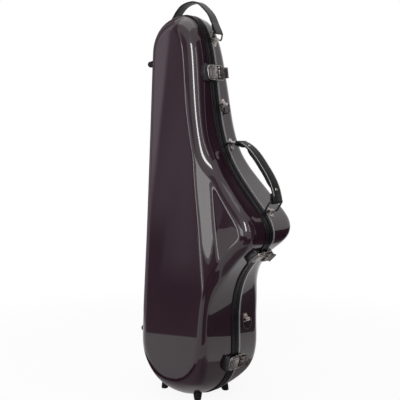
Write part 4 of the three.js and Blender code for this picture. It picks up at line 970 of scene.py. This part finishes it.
def loop_path(width, low, high, low_radius, high_radius):
    """A closed loop with two round corners at its low end and two at its high end."""
    half = width / 2
    return (
        arc(half - low_radius, low + low_radius, low_radius, -90, 0)
        + arc(half - high_radius, high - high_radius, high_radius, 0, 90)
        + arc(-half + high_radius, high - high_radius, high_radius, 90, 180)
        + arc(-half + low_radius, low + low_radius, low_radius, 180, 270)
    )


# %% Make the parts of a latch
lever_depth, lever_height, heel_radius = 13.5, 8.0, 5.0
bail_depth, bail_height, bail_radius = 24.5, 7.0, 1.5
sheet, lever_half, ear_place = 1.8, 11.9, 6.5


def latch_base():
    mesh = bmesh.new()
    tongue = arc(33.5, 0, 6.5, -90, 90, 10)
    outline = [(11.6, -12), (12.4, -12.8), (21, -12.8), (24, -10)] + tongue + [(24, 10), (21, 12.8)]
    plate(mesh, outline + [(12.4, 12.8), (11.6, 12)], -4, 2.1, ease=0.5)
    ear = [(11.6, 1)] + arc(lever_depth, lever_height, 2.8, 180, 0, 10) + [(18.4, 1)]
    for z in (-ear_place, ear_place):
        plate(mesh, ear, z - 0.85, z + 0.85, UPRIGHT, ease=0.25)
    return mesh


def latch_button():
    """The dark lock button on the tongue of the base, beyond the lever."""
    mesh = bmesh.new()
    profile = [(5.4, -0.6), (5.4, 2.6), (5.0, 4.0), (3.9, 4.7), (3.1, 4.6), (2.9, 4.2), (0, 4.2)]
    dome(mesh, profile, (2.1, 34.4, 0), (1, 0, 0), 24)
    return mesh


def latch_lever():
    """Bent sheet: the heel is slotted, so that it turns past the two ears of the base."""
    mesh = bmesh.new()
    heel = arc(lever_depth, lever_height, heel_radius - sheet / 2, 195, 90, 10)
    heel = sheet_outline(heel + [(14.6, 12.12), (16.2, 12.2)], sheet)
    slot_in, slot_out = ear_place - 1.4, ear_place + 1.4
    for low, high in ((-lever_half, -slot_out), (-slot_in, slot_in), (slot_out, lever_half)):
        plate(mesh, heel, low, high, UPRIGHT)
    top = [(15.9, 12.19), (17, 12.25), (21, 12.4), (25, 12.35), (28, 12.2)]
    top += [(30.6, 12.6), (32.8, 13.6), (34, 15.2)]
    plate(mesh, sheet_outline(top, sheet), -lever_half, lever_half, UPRIGHT, ease=0.45)
    cheek = arc(lever_depth, lever_height, heel_radius - 0.1, 90, 270, 12)
    cheek += [(bail_depth, bail_height - 3.6)] + arc(bail_depth, bail_height, 3.6, -60, 0, 4)
    cheek += [(28.6, 11.8), (lever_depth, 12.4)]
    for z in (-11.2, 11.2):
        plate(mesh, cheek, z - 0.9, z + 0.9, UPRIGHT)
    for step in range(4):
        y = 20.5 + 2.1 * step
        wire(mesh, [(12.9, y, -8.5), (12.9, y, 8.5)], 0.75, closed=False)
    return mesh


def latch_pin():
    mesh = bmesh.new()
    for side in (-1, 1):
        profile = [(1.5, -12.1), (1.5, 0), (2.3, 0), (2.2, 0.5), (1.5, 0.9), (0, 1.0)]
        dome(mesh, profile, (lever_height, lever_depth, side * 12.1), (0, 0, side), 16)
    return mesh


def latch_bail():
    mesh = bmesh.new()
    path = [(b, a) for a, b in loop_path(30, -20, bail_depth, 9.5, 3.3)]
    wire(mesh, path, bail_radius, Matrix.Translation((bail_height, 0, 0)) @ FLAT, sides=4)
    return mesh


def latch_bridge():
    """The stamped cover that is clipped over both wires of the bail, above the seam."""
    mesh = bmesh.new()
    plate(mesh, rounded(-17.6, -13.4, 7.2, 13.4, 4.5), 8.5, 9.9, ease=0.5)
    plate(mesh, rounded(-14.4, -9.4, 4.2, 9.4, 2.6), 9.5, 11.2, ease=0.7)
    for side in (-1, 1):
        hook = [(9.2, 13), (9.4, 15), (8.8, 16.6), (7, 17.4), (5.2, 16.8), (4.6, 15.2)]
        wire(mesh, [(a, -4, side * c) for a, c in hook], 0.8, closed=False)
    return mesh


def latch_keeper():
    """A thick rounded bolster with a lip in front of it; the end of the bail goes over the lip."""
    mesh = bmesh.new()
    plate(mesh, rounded(-28.8, -18, -11.7, 18, 5.5), -4, 3.2, ease=0.8)
    bolster = [(-22.4, -18.6), (-26, -18)] + arc(-9.6, 0, 22.6, -142, -218, 14) + [(-26, 18), (-22.4, 18.6)]
    plate(mesh, bolster, -4, 8.6, ease=2.2, steps=4)
    lip = [(-11.8, 1.8), (-11.8, 4.2), (-15.4, 7.9), (-17.2, 8.1), (-18, 7.2), (-17.3, 5.8), (-17.6, 1.8)]
    plate(mesh, lip, -6.4, 6.4, UPRIGHT, ease=0.5)
    return mesh


# %% Fit the latches
latch_parts = (
    ("base", latch_base, dark_nickel), ("lever", latch_lever, dark_nickel), ("pin", latch_pin, dark_nickel),
    ("bail", latch_bail, bright_nickel), ("keeper", latch_keeper, black_steel),
)
for level in three_levels:
    place = seat_axes(pivot(f"latch_lever_{level}_turn"), lever_height)
    for part, make, finish in latch_parts:
        finished(f"draw_latch_{part}_{level}", make(), finish, (f"latch_{part}_{level}",), place=place)
    finished(f"draw_latch_bridge_{level}", latch_bridge(), gray_nickel, beside=f"latch_bail_{level}",
             place=place)
    finished(f"draw_latch_button_{level}", latch_button(), black_steel, beside=f"latch_base_{level}",
             place=place)
tell("draw_latch")

# %% [markdown]
# ## Rings and their brackets
# Every ring hangs in a saddle of bent sheet that is riveted to the wall by one or two drop-shaped
# tabs. The rings are round wire. The four small ones take a shoulder strap, the long black ones
# carry the side handle and the bright ones carry the top strap.


# %% Make brackets and rings
SIDEWAYS = Matrix(((0, 1, 0, 0), (0, 0, 1, 0), (1, 0, 0, 0), (0, 0, 0, 1)))


def drop_tab(mesh, side, half_width, length):
    """A drop-shaped tab on one side of the saddle, with its dome rivet."""
    tip = half_width * 0.68
    foot = length - tip - 0.2
    outline = [(half_width * 0.9, -side * 1.5), (half_width, side * 1.5)]
    outline += [(a, side * b) for a, b in arc(0, foot, tip, 12, 168, 12)]
    outline += [(-half_width, side * 1.5), (-half_width * 0.9, -side * 1.5)]
    plate(mesh, outline, -4, 1.7, ease=0.35)
    rivet(mesh, 0, side * foot, 1.7, radius=tip * 0.62, rise=1.2)


def bracket(bar_radius, height, width, tabs):
    """A saddle over a bar, with a tab on each side; a tab too short for a rivet is a plain one."""
    mesh = bmesh.new()
    around = bar_radius + 0.35 + sheet / 2
    line = [(-around - 2.6, 0.9), (-around - 0.7, 1.0), (-around, 1.8)]
    line += arc(0, height, around, 180, 0, 12)
    line += [(around, 1.8), (around + 0.7, 1.0), (around + 2.6, 0.9)]
    plate(mesh, sheet_outline(line, sheet), -width / 2, width / 2, SIDEWAYS, ease=0.35)
    for side, length in tabs:
        if length > 8:
            drop_tab(mesh, side, width / 2 + 0.4, length)
        else:
            plate(mesh, rounded(-width / 2, -3.9, width / 2, 3.9, 2.5), -4, 1.5)
    return mesh


def ring(width, reach, radius, far_radius):
    mesh = bmesh.new()
    wire(mesh, loop_path(width, 0, reach, radius * 2, far_radius), radius, UPRIGHT, sides=4)
    return mesh


def hang(bracket_name, ring_name, kind, spot, height, saddle, loop, finish):
    """Rivets a saddle to the wall under the bar of a ring and hangs the ring in it."""
    bar = pivot(f"{kind}_ring_{spot}_swing")
    place = seat_axes(bar, height, bar.y)
    finished(f"{bracket_name}_{spot}", saddle, satin_nickel, (f"{kind}_bracket_{spot}",), place=place)
    node = f"{kind}_ring_{spot}"
    finished(f"{ring_name}_{spot}", loop, finish, (node,), place=ring_axes(node))


# %% Fit the rings for the shoulder strap, the side handle and the top strap
strap_bar, handle_bar, top_bar = 1.8, 2.1, 1.9
strap_reach, handle_reach, top_reach = 20.0, 25.0, 16.0
bar_gap, top_height = 0.9, 8.5
long_tab, short_tab = 13, 4
both_sides = (("left", -1), ("right", 1))
for side_name, up in both_sides:
    for level in two_levels:
        height = edging_proud + bar_gap + strap_bar
        saddle = bracket(strap_bar, height, 12, ((up, long_tab), (-up, short_tab)))
        hang("ring_bracket", "shoulder_ring", "strap", f"{side_name}_{level}", height, saddle,
             ring(25, strap_reach, strap_bar, 10), black_nickel)
for level in two_levels:
    height = edging_proud + bar_gap + handle_bar
    saddle = bracket(handle_bar, height, 14, ((1, long_tab), (-1, long_tab)))
    hang("grip_bracket", "grip_ring", "handle", level, height, saddle,
         ring(40, handle_reach, handle_bar, 4.6), black_steel)
for side_name, up in both_sides:
    saddle = bracket(top_bar, top_height, 12, ((up, short_tab), (-up, long_tab)))
    hang("crown_bracket", "crown_ring", "top", side_name, top_height, saddle,
         ring(32, top_reach, top_bar, 4), dark_nickel)
tell("ring_bracket", "shoulder_ring", "grip_bracket", "grip_ring", "crown_bracket", "crown_ring")

# %% [markdown]
# ## Side handle
# A leather strap goes round the bar of each ring, is folded back and riveted. A padded grip is sewn
# under it, and a pale thread runs along both edges. The strap is a line given thickness; the pad is
# a ball whose points are laid along the same line, so that it stays one closed cushion.


# %% Set out the line of the grip
grip_rise, strap_thickness, strap_half = 16.0, 3.4, 13.5
stitch_inset, stitch_count = 1.9, 30
upper_eye, lower_eye = (
    ring_axes(f"handle_ring_{level}") @ Vector((handle_reach, 0, 0)) for level in two_levels
)
grip_way = lower_eye - upper_eye
grip_length = grip_way.length
grip_place = axes(upper_eye, (-grip_way.z, 0, grip_way.x))
over_bar = handle_bar + 0.3 + strap_thickness / 2
DOWNGRIP = Matrix(((0, 1, 0, 0), (0, 0, -1, 0), (-1, 0, 0, 0), (0, 0, 0, 1)))


def grip_line(share):
    return share * grip_length, grip_rise * (1 - abs(2 * share - 1) ** 3) + over_bar


def grip_frame(share):
    """A place on the grip line with its direction along and away from the case."""
    spot = Vector(grip_line(share))
    way = (Vector(grip_line(share + 0.01)) - Vector(grip_line(share - 0.01))).normalized()
    return spot, way, Vector((-way.y, way.x))


print("grip length", round(grip_length, 1), "mm")


# %% Cut the strap of the side handle
def handle_strap():
    mesh = bmesh.new()
    near = [(15, 7.2), (10, 3.6), (5, -1.2), (2, -3.6)] + arc(0, 0, over_bar, 270, 100, 12)
    span = [grip_line(k / 40) for k in range(1, 40)]
    far = [(grip_length - a, b) for a, b in reversed(near)]
    outline = sheet_outline(near + span + far, strap_thickness)
    plate(mesh, outline, -strap_half, strap_half, DOWNGRIP, ease=0.7)
    return mesh


def on_strap(mesh, share, across, made_by):
    """Sets a small part on top of the strap: made_by(mesh) builds it with z pointing away."""
    spot, way, away = grip_frame(share)
    lifted = spot + away * (strap_thickness / 2)
    along = DOWNGRIP.to_3x3() @ Vector((way.x, way.y, 0))
    up = DOWNGRIP.to_3x3() @ Vector((away.x, away.y, 0))
    where = DOWNGRIP @ Vector((lifted.x, lifted.y, 0))
    turned = Matrix((along, up.cross(along), up)).transposed().to_4x4()
    part = bmesh.new()
    made_by(part)
    sideways = Matrix.Translation((0, across, 0))
    bmesh.ops.transform(part, matrix=Matrix.Translation(where) @ sideways @ turned, verts=part.verts)
    add_to(mesh, part)


def stitch(part):
    path = [(-2.1, 0, -0.4), (-1.4, 0, 0.3), (1.4, 0, 0.3), (2.1, 0, -0.4)]
    wire(part, path, 0.62, sides=1, closed=False)


def stud(part):
    profile = [(3.3, -0.6), (3.3, 0.2), (2.9, 0.9), (1.9, 1.5), (0.8, 1.75), (0, 1.8)]
    dome(part, profile, (0, 0, 0), (0, 0, 1))


finished("grip_strap", handle_strap(), strap_leather, ("handle_strap",), place=grip_place, crisp=30)
stitches, studs = bmesh.new(), bmesh.new()
for across in (-strap_half + stitch_inset, strap_half - stitch_inset):
    for k in range(stitch_count):
        on_strap(stitches, 0.06 + 0.88 * k / (stitch_count - 1), across, stitch)
for share in (0.125, 0.875):
    on_strap(studs, share, 0, stud)
finished("grip_stitches", stitches, thread.material, beside="handle_strap", place=grip_place, crisp=0)
finished("grip_studs", studs, bright_nickel, beside="handle_strap", place=grip_place)


# %% Stuff the pad
pad_half, pad_share, pad_full, pad_seam = 12.4, 0.365, 7.2, 3.4


def squared(value, power):
    """A power below 1 moves a value between -1 and 1 outwards and keeps its sign."""
    return math.copysign(abs(value) ** power, value)


def handle_pad():
    """Squares a ball up and lays it along the grip: flat against the strap, crowned below."""
    mesh = bmesh.new()
    bmesh.ops.create_uvsphere(mesh, u_segments=48, v_segments=40, radius=1)
    for corner in mesh.verts:
        level = squared(corner.co.z, 0.75)
        spread = math.hypot(corner.co.x, corner.co.y)
        turn = math.atan2(corner.co.y, corner.co.x)
        full = min(1.0, spread * 1.25) ** 0.6
        across, depth = squared(math.cos(turn), 0.55) * full, squared(math.sin(turn), 0.7) * full
        spot, _, away = grip_frame(0.5 + pad_share * level)
        crown = pad_seam * (1 + depth) if depth < 0 else pad_seam + 0.4 * depth
        drop = strap_thickness / 2 + 0.4 + (pad_full - 2 * crown if depth < 0 else 3.8 - crown)
        place = spot - away * drop
        corner.co = DOWNGRIP @ Vector((place.x, place.y, across * pad_half))
    bmesh.ops.recalc_face_normals(mesh, faces=mesh.faces)
    return mesh


grip_pad = finished("grip_pad", handle_pad(), pad_leather, ("handle_pad",), place=grip_place, crisp=0)
tell("grip_strap", "grip_stitches", "grip_studs", "grip_pad")

# %% [markdown]
# ## Top strap
# The carrying strap over the narrow end is a stiff leather arch between the two bright rings. Its
# line runs through a few places as shares of its span and rise. At each end the leather is pared
# thinner and folded round the bar.


# %% Arch the top strap
top_left_eye, top_right_eye = (
    ring_axes(f"top_ring_{side_name}") @ Vector((top_reach, 0, 0)) for side_name, _ in both_sides
)
arch_rise, arch_thickness, arch_fold, arch_half = 72.0, 2.8, 2.2, 11.4
arch_shares = [
    (0, 0), (0.005, 0.2), (0.045, 0.42), (0.116, 0.59), (0.2, 0.775), (0.293, 0.918), (0.4, 0.985),
    (0.5, 1), (0.5875, 0.985), (0.675, 0.905), (0.753, 0.785), (0.8275, 0.65), (0.89, 0.5),
    (0.9425, 0.302), (1, 0),
]


def smooth_line(points):
    """A rounded line through all the points; each end heads along its last stretch."""
    spots = [Vector(points[0]) * 2 - Vector(points[1]), *map(Vector, points)]
    spots.append(spots[-1] * 2 - spots[-2])
    line = []
    for a, b, c, d in zip(spots, spots[1:], spots[2:], spots[3:]):
        reach = (c - b).length / 3
        before, after = (c - a).normalized() * reach, (d - b).normalized() * reach
        line += [tuple(p) for p in interpolate_bezier(b, b + before, c - after, c, 6)[:-1]]
    return [*line, tuple(spots[-2])]


arch_span = top_right_eye - top_left_eye
arch_eye = top_bar + 0.3 + arch_fold / 2
arch_line = [
    (across * arch_span.x, rise * arch_rise + across * arch_span.z) for across, rise in arch_shares
]
rounded_arch = smooth_line(arch_line[1:-1])
STANDING = Matrix(((1, 0, 0, 0), (0, 0, -1, 0), (0, 1, 0, 0), (0, 0, 0, 1)))


def top_strap():
    mesh = bmesh.new()
    plate(mesh, sheet_outline(rounded_arch, arch_thickness), -arch_half, arch_half, STANDING, ease=0.7)
    for (x, z), sense in (((0, 0), 1), ((arch_span.x, arch_span.z), -1)):
        join = rounded_arch[0] if sense > 0 else rounded_arch[-1]
        lead = Vector(join) - Vector((x, z))
        start = math.degrees(math.atan2(lead.y, lead.x))
        tangent = math.degrees(math.acos(min(1, arch_eye / lead.length)))
        first = start + sense * tangent
        loop = [(x + arch_eye * math.cos(math.radians(first + sense * t)),
                 z + arch_eye * math.sin(math.radians(first + sense * t))) for t in range(0, 250, 14)]
        tail = Vector(loop[-1]) + (Vector(join) - Vector(loop[-1])) * 0.72
        plate(mesh, sheet_outline([join, *loop, tuple(tail)], arch_fold), -arch_half + 0.2,
              arch_half - 0.2, STANDING, ease=0.6)
    return mesh


arch_place = Matrix.Translation(top_left_eye)
# The strap is black leather. The lighter gray band along its middle is painted sheen of a crowned middle;
# only the near-black borders keep the leather's own colour.
crown_leather_painted_sheen = Finish("crown_leather_painted_sheen", (0.07, 0.066, 0.066), 0.5)
sideways = crown_leather_painted_sheen.along(1)
off_middle = sideways.math("ABSOLUTE", sideways - (to_frame @ top_left_eye).y)
outside_painted_sheen = off_middle.above(0.78 * arch_half * MM, 0.05 * arch_half * MM)
grain = crown_leather_painted_sheen.cells(520)
crown_leather_painted_sheen.set({"Base Color": crown_leather_painted_sheen.tint(outside_painted_sheen, (0.07, 0.066, 0.066), (0.009, 0.009, 0.009))})
crown_leather_painted_sheen.set({"Roughness": 0.45 + grain * 0.12, "Specular IOR Level": 0.25})
crown_leather_painted_sheen.relief(grain, 0.0004, 0.4)
finished("crown_strap", top_strap(), crown_leather_painted_sheen.material, ("top_strap",), place=arch_place, crisp=30)
print("arch span", round(arch_span.length, 1), "mm")

# %% [markdown]
# ## Rubber feet
# The case stands on four splayed feet under the bottom arch and can lie on four bumpers on the
# spine. Each is turned in one go, with a grooved flank and a screw hole in its tip. Rays show where
# the shell lies above a foot, so that its root ends inside the wall all the way round.


# %% Turn the feet
def shell_tree(node):
    mesh = copy_of(node)
    bmesh.ops.transform(mesh, matrix=to_case, verts=mesh.verts)
    tree = BVHTree.FromBMesh(mesh)
    mesh.free()
    return tree


root_sink, splay = 1.6, 0.2
left_x, right_x, front_y, back_y = 40, 147, -43, 46
standing_profile = [
    (0, 2.2), (2.6, 2.2), (3.0, 0.3), (6.4, 0), (7.3, 0.5), (7.7, 1.6), (8.1, 4), (7.8, 4.6),
    (8.3, 5.3), (9, 9), (9.9, 15), (10.4, 20), (10.5, 40), (0, 40),
]
bumper_profile = [
    (0, 2.4), (2.4, 2.4), (2.8, 0.3), (5.2, 0), (6.1, 0.5), (6.5, 1.5), (7.1, 7), (6.8, 7.7),
    (7.3, 8.4), (8.5, 17), (9, 19.5), (9, 40), (0, 40),
]


def rooted(mesh, tree, tip, away, root):
    """Moves what lies past the root of a foot along its axis until it ends inside the wall."""
    for corner in mesh.verts:
        if (corner.co - tip).dot(away) < root:
            continue
        start = corner.co - away * (corner.co - tip).dot(away)
        hit = tree.ray_cast(start, away, 80)[0]
        if hit:
            corner.co = hit + away * root_sink


trees = {"lid": shell_tree("lid_shell"), "back": shell_tree("back_shell")}
for side_name, x, lean_x in (("left", left_x, -1), ("right", right_x, 1)):
    for shell, node, y, lean_y in (("lid", "foot_front", front_y, -1), ("back", "foot_back", back_y, 1)):
        foot = bmesh.new()
        dome(foot, standing_profile, (0, 0, 0), (0, 0, 1), 36)
        lean = Matrix.Translation((x, y, 0))
        lean[0][2], lean[1][2] = -lean_x * splay, -lean_y * splay
        bmesh.ops.transform(foot, matrix=lean, verts=foot.verts)
        rooted(foot, trees[shell], Vector((x, y, 0)), Vector((0, 0, 1)), 21)
        name = f"{node}_{side_name}"
        finished(f"rubber_{name}", foot, foot_rubber, (name,), crisp=30)

for shell in trees:
    for level in two_levels:
        name = f"side_foot_{shell}_{level}"
        tip = middle_of(name)
        tip.x = (to_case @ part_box(name)[0]).x
        bumper = bmesh.new()
        dome(bumper, bumper_profile, tip, (1, 0, 0), 32)
        rooted(bumper, trees[shell], tip, Vector((1, 0, 0)), 20)
        finished(f"rubber_{name}", bumper, foot_rubber, (name,), crisp=30)
tell("rubber_foot", "rubber_side_foot")
